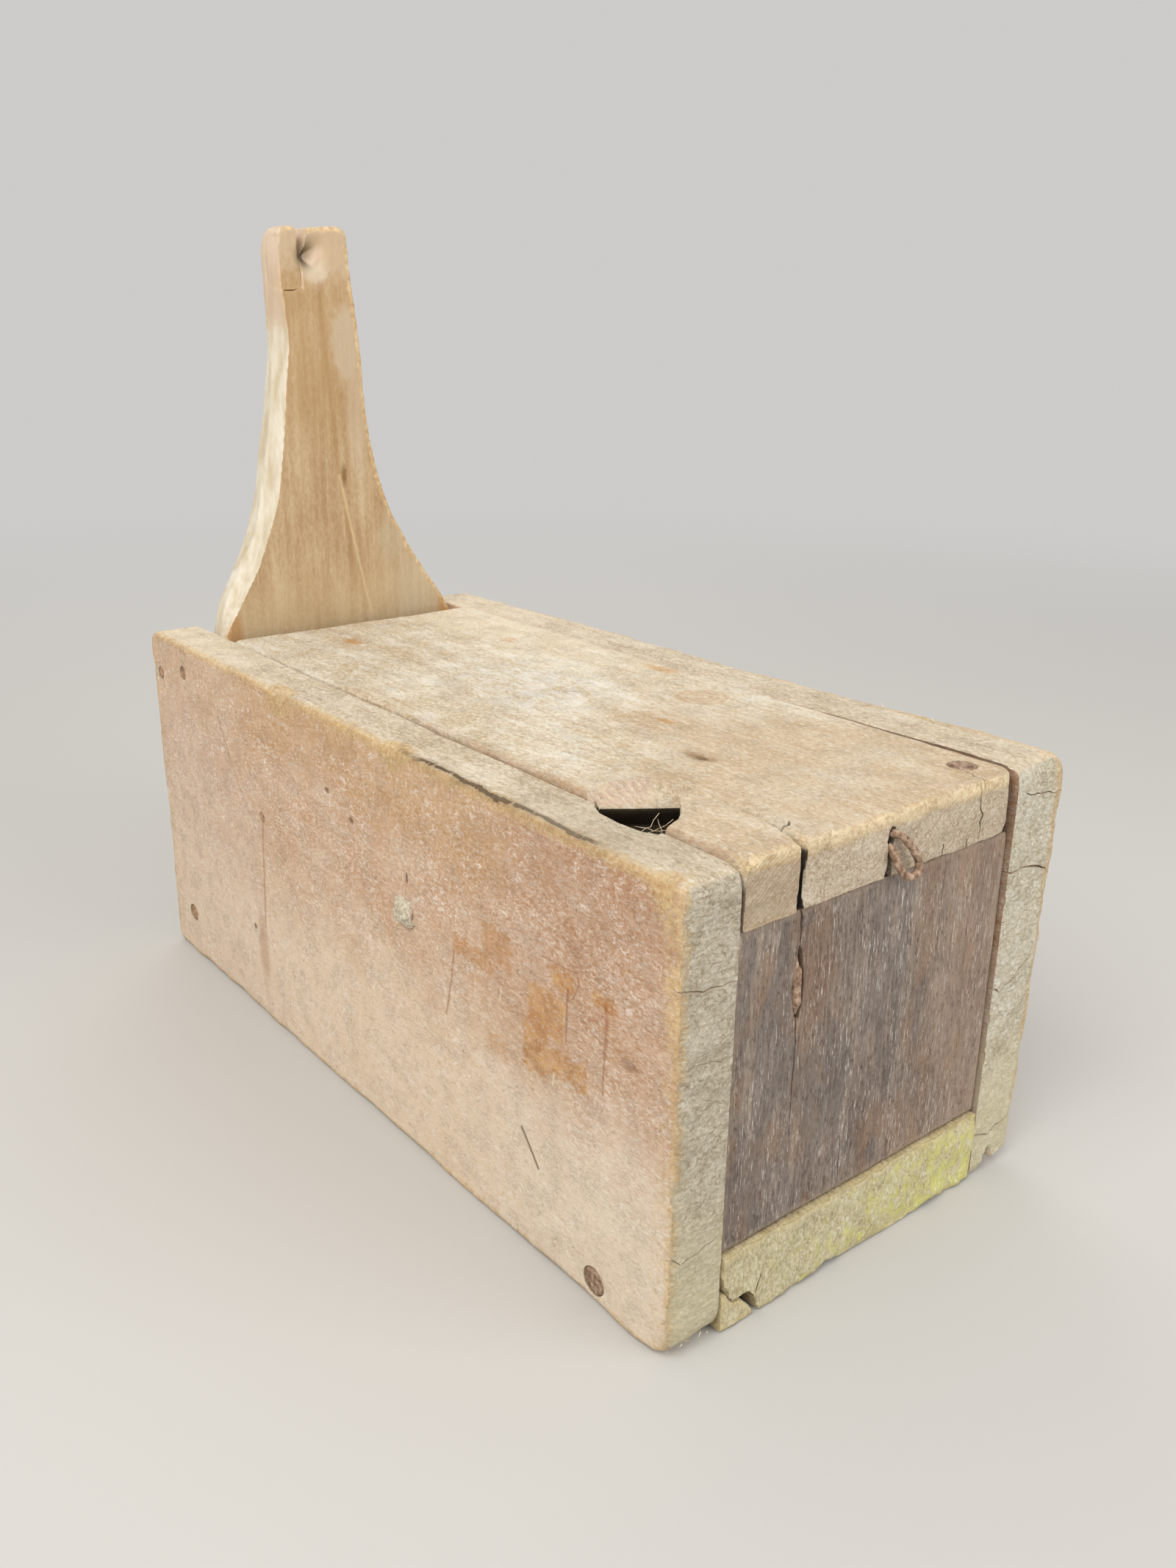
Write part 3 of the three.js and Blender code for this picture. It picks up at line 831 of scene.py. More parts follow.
def left_features(g, height):
    """What only the left board's outside shows: stains, runs, gouges, saw marks and the torn arris."""
    outside = g.smooth(g.nx, -0.6, -0.85)
    u, v = g.y, g.z
    spot, stroke = functools.partial(g.spot, u, v), functools.partial(g.stroke, u, v)

    def block(low, high, bottom, top, seed, ragged=5.0):
        """A stained rectangle with torn sides."""
        shift = (g.noise(4, seed=seed, detail=7, rough=0.78) - 0.5) * ragged * 2.2
        lift = (g.noise(4, seed=seed + 30, detail=7, rough=0.78) - 0.5) * ragged * 2.2
        inside_u = g.least(g.smooth(u + shift, low, low + 1.8), g.smooth(u + shift, high, high - 1.8))
        return g.least(inside_u, g.smooth(v + lift, bottom, bottom + 1.8), g.smooth(v + lift, top, top - 1.8))

    # golden brown stain near the closed end, in torn blocks, with runs out of two of them
    deep = g.most(block(-118, -99.5, 76, 91.5, 1, 5), block(-110.5, -97.5, 61, 78, 2, 5),
                  block(-127.5, -108, 65, 75, 3, 6), block(-140.5, -128, 94.5, 100.5, 4, 4),
                  block(-122, -111, 92.5, 101, 14, 7))
    faint = g.most(block(-93, -77, 88.5, 101, 9, 5), block(-84, -61, 83.5, 90.5, 12, 4),
                   block(-91, -79, 57.5, 65.5, 33, 6) * 0.7)
    speckle = g.patches((1.4, 1.8, 1.2), 11, 0.42, 0.56, 6, 0.8)
    brown = g.mix(g.patches(5, 31, 0.42, 0.6, 5, 0.7), "bd844a", "dba968")
    g.tint(deep * (0.25 + speckle * 0.6) * outside, brown)
    g.tint(faint * (0.25 + speckle * 0.45) * outside, "c48c53")
    halo = spot((-114, 84), (44, 24), ragged=1.0, seed=10, size=18, soft=0.6)
    g.tint(halo * outside * 0.14, "c99b6c")
    runs = g.most(stroke([(-118.4, 95), (-117.7, 78)], 0.7, 0.5, 0.7),
                  stroke([(-134.5, 96.8), (-134.9, 90.5), (-134.2, 82)], 1.4, 0.7, 0.7),
                  stroke([(-134.2, 84), (-133.6, 70)], 0.4, 0.5, 0.7),
                  stroke([(-107, 100.4), (-115.8, 100.7), (-122.1, 101.2), (-123.1, 98.3), (-120.7, 92.9)],
                         0.3, 0.4, 0.8),
                  stroke([(-62.3, 83.5), (-60.4, 72), (-57, 60)], 0.8, 0.5, 0.6))
    g.tint(runs * outside * 0.5, "99592c")
    trail = stroke([(67.6, 85), (69, 64), (71, 40)], 0.9, 0.7, 0.8, seed=6)
    pool = spot((74, 30), (4, 13), ragged=0.8, soft=0.5, seed=15)
    g.tint(g.most(trail * 0.5, pool * 0.35) * outside, "a8693b")
    gouge = stroke([(-97, 40), (-105, 30.5)], 0.8, 0.5)
    small = g.most(spot((80.4, 36.9), (1.0, 1.0), soft=0.5), spot((-36.3, 98.4), (0.5, 1.6), soft=0.5),
                   spot((-2, 107), (1.1, 0.9), soft=0.6), spot((14, 113), (1.3, 0.9), soft=0.6),
                   spot((-144.4, 83.9), (2.6, 1.5), ragged=0.8, soft=0.6, seed=34, size=2) * 0.6)
    g.tint(g.most(gouge, small) * outside * 0.7, "704a2f")
    height = height - g.most(gouge * 0.9, small * 0.9) * outside
    lines = stroke([(100, 118), (84, 92), (76, 84)], 0.4, 0.5, 1.0, seed=25)
    g.tint(lines * outside * 0.3, "8d6549")
    pale = g.most(stroke([(-24, 70), (-33, 58)], 0.35, 0.3, 0.4),
                  stroke([(-87, 82), (-86.5, 78)], 0.5, 0.3), stroke([(-112.5, 66), (-112, 62)], 0.6, 0.3))
    g.tint(pale * outside * 0.85, "f4e6c4")
    corner = g.most(spot((-159.5, 109), (3.2, 11), ragged=1.0, soft=0.4, seed=35, size=3),
                    spot((-158.5, 131), (4.5, 7), ragged=0.9, soft=0.5, seed=36, size=4))
    flecks = g.patches(1.8, 37, 0.4, 0.56, 6, 0.8)
    g.tint(corner * flecks * outside * 0.55, "ecd096")
    # fine saw marks across the grain, clearest in the browner upper part
    saw = g.noise((3, 0.35, 9), seed=16, detail=3, rough=0.6)
    where = g.ragged(v, 90, 125, 20, 17, 60) * outside * g.smooth(u, 60, -20)
    g.tint(g.smooth(saw, 0.56, 0.72) * where * 0.4, "8a5f45")
    height = height + saw * where * 0.12
    # dirt packed into the torn top arris, with broken pale wood under it
    torn = g.ragged(u, 50, 20, 8, 26, 20) * g.smooth(u, -156, -150)
    below = g.smooth(v, 132.5, 136.5) * g.smooth(g.nz, 0.8, 0.4) * g.smooth(g.x, -71, -74)
    broken = below * g.ragged(v, 135.4, 137.0, 3.0, 27, 8.0) * torn
    g.tint(broken * 0.5, ochre(g, 28))
    depth = g.absolute(g.grown(g.x, 7, 18, 3.4) + 75.9)
    dirt = g.smooth(depth, 0.75, 0.3) * g.smooth(v, 137.6, 138.6) * g.ragged(u, -30, -50, 6, 29, 30)
    dirt = dirt * g.smooth(u, -131, -124) * g.patches((40, 4, 40), 7, 0.36, 0.5, 5, 0.7)
    grime = g.smooth(depth, 2.2, 0.6) * g.smooth(v, 137.2, 138.4)
    grime = grime * g.smooth(u, -25, -50) * g.smooth(u, -140, -120)
    g.tint(grime * 0.45, "8b7355")
    g.tint(dirt * 0.8, "4d3b2a")
    height = height - dirt * 0.8
    shade = g.spot(g.x, g.y, (-66, -122), (13, 34), ragged=0.6, soft=0.6, seed=19, size=12)
    g.tint(shade * g.smooth(g.nz, 0.5, 0.85) * 0.35, "aea38f")
    return height


SIDE_LEFT = side_material("side_wood_left", 1.0, ["a3947c", "b5a78f", "c4b8a1", "cfc5af", "d9d1bf"],
                          left_features)
SIDE_RIGHT = side_material("side_wood_right", 5.0, ["ada087", "c1b59b", "d0c6af", "dcd4c1", "e8e3d5"])


def top_material():
    g = Graph("top_wood")
    spot = functools.partial(g.spot, g.x, g.y)
    tones = ["bda684", "cab596", "d4c3a7", "ddd0b8", "e5dcc9"]
    g.colour, height, patch = weather(g, 1, 20.0, tones, "f0e9d9", "9f8663", 0.5)
    up = g.smooth(g.nz, 0.5, 0.8)
    ring = spot((35, -49), (10.5, 9.5), ragged=0.5, soft=0.3, seed=24)
    rings = g.math("SINE", g.length(g.x - 35, g.y + 49) * 2.1 + g.noise(5, seed=44) * 5) * 0.5 + 0.5
    g.tint(ring * up * (0.22 + rings * 0.35), "c0925f")
    haze = spot((-1, 3), (26, 34), ragged=1.1, soft=0.6, seed=45, size=14)
    film = g.patches((3, 9, 3), 46, 0.44, 0.56, 6, 0.75)
    g.tint(haze * film * up * 0.5, "e9e7e2")
    knot = spot((-11, -96), (2.6, 6.0), ragged=0.9, soft=0.5, seed=25, size=3)
    g.tint(knot * up * 0.85, "8a6740")
    heart = spot((-11.4, -97.5), (1.3, 2.6), ragged=0.9, soft=0.4, seed=35, size=2)
    g.tint(heart * up * 0.85, "4d341f")
    height = height - knot * 0.5
    for centre, radii, seed in (((32, 60), (3, 5), 26), ((50, -11), (3, 8), 27), ((-20, 96), (3, 5), 28),
                                ((6, -62), (1.5, 4), 29)):
        mark = spot(centre, radii, ragged=1.1, soft=0.5, seed=seed, size=4)
        g.tint(mark * up * 0.7, "c08a45")
    near = g.ragged(g.y, -60, -125, 22, 36, 70)
    g.tint(near * up * 0.3, "c6a886")
    chalk = g.patches((7, 16, 7), 41, 0.53, 0.6, 7, 0.72) * up
    g.tint(chalk * g.smooth(g.y, -110, -60) * 0.4, "f1ece0")
    bright = g.smooth(g.x, 0, 50) * g.smooth(g.y, -60, 60)
    g.tint(bright * up * 0.42, "f7ebd0")
    brown = spot((10, -75), (26, 30), ragged=0.9, soft=0.7, seed=37, size=16)
    g.tint(brown * up * 0.3, "c4a685")
    dx, dy = g.x + 46.5, g.y + 121
    turn = g.math("ARCTAN2", dx, dy)
    rays = g.math("SINE", turn * 52 + g.noise(1.2, seed=30) * 9) * 0.5 + 0.5
    reach = g.length(dx, dy)
    seat = g.smooth(reach, 24.5, 21.5) * g.smooth(g.y + g.x * -0.71, -81, -76) * g.smooth(g.z, 137.2, 137.8)
    cut = g.mix(rays * 0.7, "c99f92", "ead7b4")
    g.tint(seat * g.smooth(g.z, 142.4, 141.4) * (0.15 + patch * 0.5), cut)
    height = height + rays * seat * 0.3
    end = g.smooth(g.absolute(g.ny), 0.6, 0.85) * g.most(g.smooth(g.y, -154, -158), g.smooth(g.y, 120, 124))
    tones = ["a48f74", "b4a187", "c1af96", "ccbca5", "d8cbb8"]
    raw, raw_height = end_grain(g, tones, 31.0, (1.2, 1.6, 1.0), 0.7)
    saw = g.math("SINE", (g.x * 0.75 - g.z * 0.95) * 4.6 + g.noise(4, seed=38) * 6) * 0.5 + 0.5
    sawn = g.ragged(g.x, 2, 22, 14, 39, 40) + g.smooth(g.x, -37, -39)
    raw = g.mix(saw * sawn * 0.22, raw, "927f66")
    raw = g.mix(g.smooth(g.x, -36, -38) * 0.35, raw, "a68a69")
    g.tint(end, raw)
    height = height * (1 - end) + end * (saw * sawn * 0.16 + raw_height)
    edge = g.attribute("edge")
    rim = g.ragged(edge, 0.3, 0.95, 5, 33, 0.9)
    front = g.smooth(g.y, -152, -160)
    g.tint(rim * front * 0.5, ochre(g, 34))
    crest = front * g.ragged(g.z, 137.4, 139.6, 5, 42, 7) * g.smooth(g.nz, 0.97, 0.7)
    stipple = g.patches(1.8, 43, 0.42, 0.58, 6, 0.8)
    g.tint(crest * stipple * 0.6, "ecdcb8")
    seam = rim * g.smooth(g.absolute(g.x), 50, 54) * (1 - front) * g.smooth(g.y, 60, -90)
    g.tint(seam * 0.5, "aa8260")
    height = height + rim * front * g.noise(1.6, seed=40) * 0.5
    # painted shade: the top board darkened below its upper surface, on its sides, underside and hole walls
    # inside the box
    inside = g.smooth(g.z, 138.5, 133) * (1 - end)
    g.tint(inside * 0.75, "5a4632")
    # painted shade: near-black on the walls of the split, from the near end to the trigger hole
    split_gap_shade = g.smooth(g.absolute(g.nx), 0.55, 0.85) * g.smooth(g.absolute(g.x + 35), 6.5, 5.5)
    split_gap_shade = split_gap_shade * g.smooth(g.y, -117, -119) * g.smooth(g.z, 140.4, 138.8)
    g.tint(split_gap_shade * 0.9, "1d150f")
    hole_shade_and_dirt(g)
    return g.finish(height)


TOP = top_material()


def panel_material():
    g = Graph("panel_wood", roughness=0.82)
    fine = g.noise(along(2, 0.3, 9), seed=40, detail=4, rough=0.6)
    middle = g.noise(along(2, 1.6, 26), seed=41, detail=5, rough=0.65)
    fuzz = g.noise(along(2, 0.8, 2.2), seed=42, detail=7, rough=0.78)
    wide = g.noise(along(2, 16, 40), seed=43, detail=5, rough=0.6)
    tone = middle * 0.28 + fuzz * 0.36 + wide * 0.36
    g.colour = g.ramp(tone, [(0.41, "66574e"), (0.455, "78695f"), (0.50, "887a6e"), (0.545, "95867a"),
                             (0.60, "a69685")])
    tilt = g.z + g.x * 0.9
    slanted = g.noise(along(2, 13, 30), seed=46, detail=5) + g.math("SINE", tilt * 0.05) * 0.05
    g.tint(g.smooth(slanted, 0.5, 0.56) * 0.42, "93745b")
    g.tint(g.patches(along(2, 10, 50), 44, 0.5, 0.57, 5) * 0.42, "6a6563")
    right = g.ragged(g.x, 10, 45, 14, 48, 40)
    g.tint(right * 0.35, "b3977f")
    scratch = g.noise(along(2, 0.4, 4.5), seed=45, detail=5, rough=0.75)
    where = g.patches(along(2, 8, 24), 49, 0.42, 0.58, 3)
    g.tint(g.smooth(scratch, 0.55, 0.63) * (0.25 + where * 0.65), "dcd3c8")
    g.tint(g.smooth(fine, 0.54, 0.68) * 0.55, "40322a")
    g.tint(g.smooth(fuzz, 0.46, 0.37) * 0.5, "43352d")
    height = middle * 0.3 + fine * 0.25 + scratch * 0.15 + fuzz * 0.35
    edge = g.attribute("edge")
    g.tint(g.ragged(edge, 0.5, 0.95, 4, 47, 0.8) * 0.35, "b09c87")
    return g.finish(height)


PANEL = panel_material()


def bottom_material():
    g = Graph("bottom_wood")
    tones = ["8f7c5a", "a5936e", "b6a582", "c4b492", "d0c3a4"]
    g.colour, height, _ = weather(g, 1, 60.0, tones, "dcd2b8", "6b5736")
    end = g.smooth(g.absolute(g.ny), 0.5, 0.8)
    tones = ["b3a37c", "c6b78e", "d5c89e", "e0d5af", "eae2c6"]
    raw, raw_height = end_grain(g, tones, 63.0, (1.0, 1.4, 1.7), 1.1)
    moss = g.noise((5, 5, 7), seed=65, detail=7, rough=0.7) + (g.x - 5) / 520 - (g.z - 10) / 260
    raw = g.mix(g.smooth(moss, 0.43, 0.6) * 0.55, raw, "dbd57c")
    raw = g.mix(g.smooth(moss, 0.54, 0.64) * 0.6, raw, "e8e584")
    bits = g.noise((1.1, 1.1, 1.8), seed=66, detail=6, rough=0.75, distortion=0.6)
    raw = g.mix(g.smooth(bits, 0.54, 0.63) * 0.7, raw, "f7f4de")
    raw = g.mix(g.smooth(bits, 0.44, 0.34) * 0.4, raw, "92804f")
    g.tint(end, raw)
    height = height * (1 - end) + end * (raw_height + bits * 0.5)
    edge = g.attribute("edge")
    g.tint(g.ragged(edge, 0.5, 0.95, 4, 67, 1.0) * 0.5, "dcc996")
    return g.finish(height)


BOTTOM = bottom_material()


def door_material():
    g = Graph("door_wood", roughness=0.62)
    fine = g.noise(along(2, 0.5, 10), seed=80, detail=3)
    middle = g.noise(along(2, 3.0, 60), seed=81, detail=4, distortion=0.2)
    fuzz = g.noise(along(2, 0.9, 2.2), seed=82, detail=6, rough=0.7)
    patch = g.noise(along(2, 14, 40), seed=83, detail=4)
    tone = middle * 0.34 + fuzz * 0.36 + patch * 0.3
    g.colour = g.ramp(tone, [(0.40, "a28360"), (0.45, "ad906c"), (0.50, "b59a76"), (0.55, "bda583"),
                             (0.62, "c8b293")])
    g.tint(g.smooth(fine, 0.58, 0.76) * 0.14, "8f6f49")
    u, v = g.x, g.z
    spot, stroke = functools.partial(g.spot, u, v), functools.partial(g.stroke, u, v)
    warm = g.ragged(v, 190, 240, 18, 91, 30)
    g.tint(warm * 0.4, "ab8555")
    stripe = stroke([(-5, 278), (-4, 250), (0, 200), (6, 150)], 1.6, 1.2, 0.8, seed=84)
    g.tint(stripe * 0.35, "9b7446")
    light = stroke([(0, 200), (8, 160), (12, 142)], 0.8, 0.8, 0.8, seed=85)
    g.tint(light * 0.5, "d8c195")
    grey = g.most(spot((5.4, 252), (6.2, 15), ragged=0.9, soft=0.25, seed=86, size=5),
                  spot((9.6, 228), (4.5, 26), ragged=1.0, soft=0.4, seed=98, size=6) * 0.7)
    g.tint(grey * 0.6, "c4b39b")
    g.tint(g.ragged(v, 175, 145, 14, 97, 30) * 0.4, "c9b087")
    foot = g.most(spot((36, 152), (13, 14), ragged=0.7, soft=0.6, seed=92, size=9),
                  spot((24, 172), (7, 10), ragged=0.7, soft=0.6, seed=95, size=9))
    g.tint(foot * 0.45, "bcae95")
    knot = spot((2.0, 200), (1.3, 4.0), ragged=0.8, soft=0.6, seed=87, size=3)
    g.tint(knot * 0.75, "745126")
    head = g.ragged(v - g.smooth(u, -11.5, -13) * 4, 270, 284, 3.5, 96, 26)
    g.tint(head * 0.6, "cbb79b")
    # painted highlight on the lower lip of the scoop beside the pivot slot
    lip_highlight = spot((-6, 279), (4.5, 4), ragged=0.8, soft=0.5, seed=88, size=4)
    g.tint(lip_highlight * 0.4, "e4dac6")
    # painted shade in the scoop's hollow
    hollow = spot((-9.6, 285.2), (3.4, 4.4), soft=0.9)
    g.tint(hollow * 0.85, "4c4029")
    fresh = g.most(spot((52, 139), (5, 13), soft=0.4, ragged=0.4), spot((-53, 139), (5, 10), soft=0.4))
    g.tint(fresh * 0.6, "b27d43")
    flank = g.smooth(g.nx, -0.25, -0.6)
    cut = g.ramp(g.noise((4, 4, 22), seed=89, detail=5, rough=0.55),
                 [(0.36, "c9bb9f"), (0.46, "d4c9b1"), (0.56, "ddd4c0"), (0.7, "e5decf")])
    worn_top = g.ragged(v, 254, 262, 9, 93, 20)
    cut = g.mix(worn_top * 0.6, cut, "cfae92")
    g.tint(flank * 0.92, cut)
    rim = g.ragged(g.attribute("edge"), 0.55, 0.9, 4, 90, 1.0) * g.smooth(g.ny, 0.2, -0.2)
    g.tint(rim * 0.5, g.ramp(g.noise(2.0, seed=94, detail=5), OCHRE))
    height = middle * 0.14 + fine * 0.06 + fuzz * 0.2 + patch * 0.2
    return g.finish(height)


DOOR = door_material()


def batten_material():
    g = Graph("batten_wood")
    tones = ["7d5f40", "93724f", "a5835e", "b4946f", "c2a684"]
    g.colour, height, _ = weather(g, 2, 95.0, tones, "cbb394", "5c4229")
    return g.finish(height)


BATTEN = batten_material()


def mud_material():
    g = Graph("dried_mud", roughness=0.95)
    grit = g.noise(1.3, seed=120, detail=7, rough=0.75)
    g.colour = g.ramp(grit, [(0.36, "a99a80"), (0.5, "cfc3aa"), (0.6, "ece4d2")])
    return g.finish(grit * 0.7)


MUD = mud_material()


def splinter_material():
    g = Graph("splinter_wood", roughness=0.8)
    g.colour = g.ramp(g.noise(2.0, seed=130), [(0.35, "bfa47e"), (0.55, "e0d0b2"), (0.7, "f0e8d6")])
    return g.finish()


SPLINTER = splinter_material()


# ---- boards ----

ALONG_X = (1, 0, 0)


def add_board(node, outline, plane, low, high, radius, relief, material, body="box", solid=None,
              cuts=(), late=(), voxel=MIDDLE_VOXEL, chip=None):
    """A worn board in its CAD node's place: an even grid, soft arrises, relief, then clean cuts."""
    obj = solid or prism(outline, plane, low, high, f"{node}_wood")
    combine(obj, list(cuts))
    remesh(obj, voxel)
    p = round_arrises(get_points(obj), outline, plane, low, high, radius)
    set_points(obj, p)
    normals = get_normals(obj)
    set_points(obj, p + relief(p, normals))
    combine(obj, list(late))
    p = get_points(obj)
    set_attribute(obj, "edge", edge_wear(p, outline, plane, low, high))
    set_attribute(obj, "chip", np.clip(chip(p), 0, 1) if chip else np.zeros(len(p)))
    obj.data.shade_smooth()
    obj.data.set_sharp_from_angle(angle=SHARP_ANGLE)
    adopt(obj, body, [node], material)


def at_end(normals):
    """1 on a board's sawn ends, 0 on its faces."""
    return step(np.abs(normals[:, 1]), 0.5, 0.85)


def wandering(base, wander, size, seed):
    """An arris radius that wanders about base all round a board."""
    return lambda p, lower: np.maximum(base + wander * fbm(p, size, seed), SMALLEST_RADIUS)


def end_crack(points, *size, y=NEAR, **look):
    """A crack in an end face at y, its points given as x and z."""
    return crack([(x, y, z) for x, z in points], (0, 1, 0), *size, **look)


def left_board():
    outline = rounded_box(NEAR, FAR, 0, HEIGHT, (9, 4, 5, 4.5))
    # broken spots along the top arris: place, reach along the board, depth
    chips = [(48, 8, 4.4), (-1, 4, 1.6), (-30, 9, 2.6), (20, 5, 1.2), (100, 8, 1.2), (-154, 5, 2.6),
             (-88, 12, 1.4)]

    def radius(p, outer):
        base = 1.9 + 0.9 * fbm(p, 11, 3)
        base = base + 0.9 * step(-p[:, 1], 154, 162)
        at_top = step(p[:, 2], 128, 136)
        for y, reach, size in chips:
            base = base + at_top * size * np.exp(-((p[:, 1] - y) / reach) ** 2)
        inner = 0.9 + 0.4 * fbm(p, 9, 4)
        return np.maximum(np.where(outer, base, inner), 0.4)

    def relief(p, normals):
        move = 0.28 * fbm(p, 60, 5) + 0.10 * fbm(p, (6, 30, 5), 6)
        move = move - at_end(normals) * (0.35 + 0.55 * fbm(p, (7, 7, 4.5), 7, 4))
        for y, z, reach in ((-130.7, 7, 8), (67.9, 86.6, 6), (155, 123.5, 7), (131.8, 128.4, 6)):
            move = move - dent(p, (LEFT, y, z), reach, 0.5)
        return normals * move[:, None]

    def chip(p):
        near = step(p[:, 2], 126, 137) * step(-70 - p[:, 0], 0, 4)
        return near * sum(size / 3 * np.exp(-((p[:, 1] - y) / reach) ** 2) for y, reach, size in chips)

    late = hole_cutters() + [pocket((LEFT + 0.2, y, z), 0, -1, r, 1.3)
                             for y, z, r in ((-130.7, 7, 4.65), (131.8, 128.4, 2.8), (155.2, 123.5, 2.8),
                                             (67.9, 86.6, 2.1), (143.7, 19, 3.8))]
    late += [end_crack([(-78.5, 112.6), (-72.2, 111.4), (-66, 110.6), (-57, 110.2)], 0.55, 4, 1),
             end_crack([(-73, 90.6), (-67.2, 89.6), (-57.5, 88.6)], 0.45, 3, 2),
             end_crack([(-78.5, 33.6), (-71.7, 32.2), (-66.5, 33), (-57.5, 35.2)], 0.5, 4, 3)]
    add_board("left_side_board", outline, "YZ", LEFT, LEFT_INNER, radius, relief, SIDE_LEFT,
              late=late, chip=chip)


def right_board():
    outline = rounded_box(NEAR, FAR, 0, HEIGHT, (3, 4, 4, 6))

    def radius(p, inner):
        base = 2.0 + 1.1 * fbm(p, 10, 13)
        return np.maximum(np.where(inner, 0.9 + 0.4 * fbm(p, 9, 14), base), 0.4)

    def relief(p, normals):
        move = 0.28 * fbm(p, 60, 15) + 0.10 * fbm(p, (6, 30, 5), 16)
        move = move - at_end(normals) * (0.5 + 0.75 * fbm(p, (8, 8, 6), 17, 4))
        shift = normals * move[:, None]
        # the near end leans out at its top and stands higher than the far end
        towards_end = step(-p[:, 1], 20, 162)
        across = (p[:, 0] - RIGHT_INNER) / (RIGHT - RIGHT_INNER)
        up = p[:, 2] / HEIGHT
        shift[:, 0] += across * towards_end * (2.4 * up - 1.5 * (1 - up))
        shift[:, 2] += step(up, 0.7, 1.0) * (1.8 * towards_end - 1.6 * step(p[:, 1], 40, 162))
        return shift

    notch = prism([(61.5, -1), (68.5, -1), (67.5, 5), (65.8, 9.2), (63.4, 6)], "XZ", NEAR - 3, NEAR + 14)
    worn_corner = prism([(68, -2), (82, -2), (82, 15), (75, 4.2), (68, 2.6)], "XZ", NEAR - 3, NEAR + 22)
    late = [pocket((RIGHT - 0.2, y, z), 0, 1, r, 1.7)
            for y, z, r in ((-130.7, 7, 4.7), (131.8, 128.4, 3.9), (155.2, 123.5, 3.9), (143.7, 19, 4.7))]
    late += [end_crack([(55, 109), (60.5, 107.8), (66.1, 108.4), (70.1, 107.8), (79.5, 103.6)], 0.9, 5, 11),
             end_crack([(55, 92.4), (58.5, 92.2)], 0.6, 4, 12),
             end_crack([(55, 69), (59, 68.6), (64.5, 69.8), (69, 73.2), (76, 77)], 0.6, 4, 13),
             end_crack([(55, 16.2), (63.6, 14.7), (69.7, 15.2), (79, 17.6)], 0.7, 5, 14),
             end_crack([(60, 133.6), (70, 131.4), (79.5, 130.4)], 0.5, 3, 15)]
    add_board("right_side_board", outline, "YZ", RIGHT_INNER, RIGHT, radius, relief, SIDE_RIGHT,
              cuts=[notch, worn_corner], late=late)


# The split in the top board, from the near end to the trigger hole: x, y and the width there.
SPLIT = [(-37.3, -163.5, 2.3), (-35.6, -155.6, 1.5), (-34.2, -150, 1.0), (-33.2, -139, 0.5),
         (-31.8, -128.5, 0.4), (-34.8, -118.2, 0.4)]


def split_side(side):
    """One side of the split, with a fine jag. Both sides draw the same jag."""
    points = []
    random = np.random.default_rng(8)
    for (x0, y0, w0), (x1, y1, w1) in zip(SPLIT, SPLIT[1:]):
        for i in range(4):
            t = i / 4
            jag = float(random.normal(0, 0.22)) if i else 0
            points.append((x0 + (x1 - x0) * t + jag + side * (w0 + (w1 - w0) * t) / 2, y0 + (y1 - y0) * t))
    points.append((SPLIT[-1][0] + side * SPLIT[-1][2] / 2, SPLIT[-1][1]))
    return [(x, max(y, NEAR)) for x, y in points]


def tilted(p):
    """The top board stands higher at its near end."""
    p = p.copy()
    p[:, 2] += (TOP_FAR - p[:, 1]) * TILT
    return p


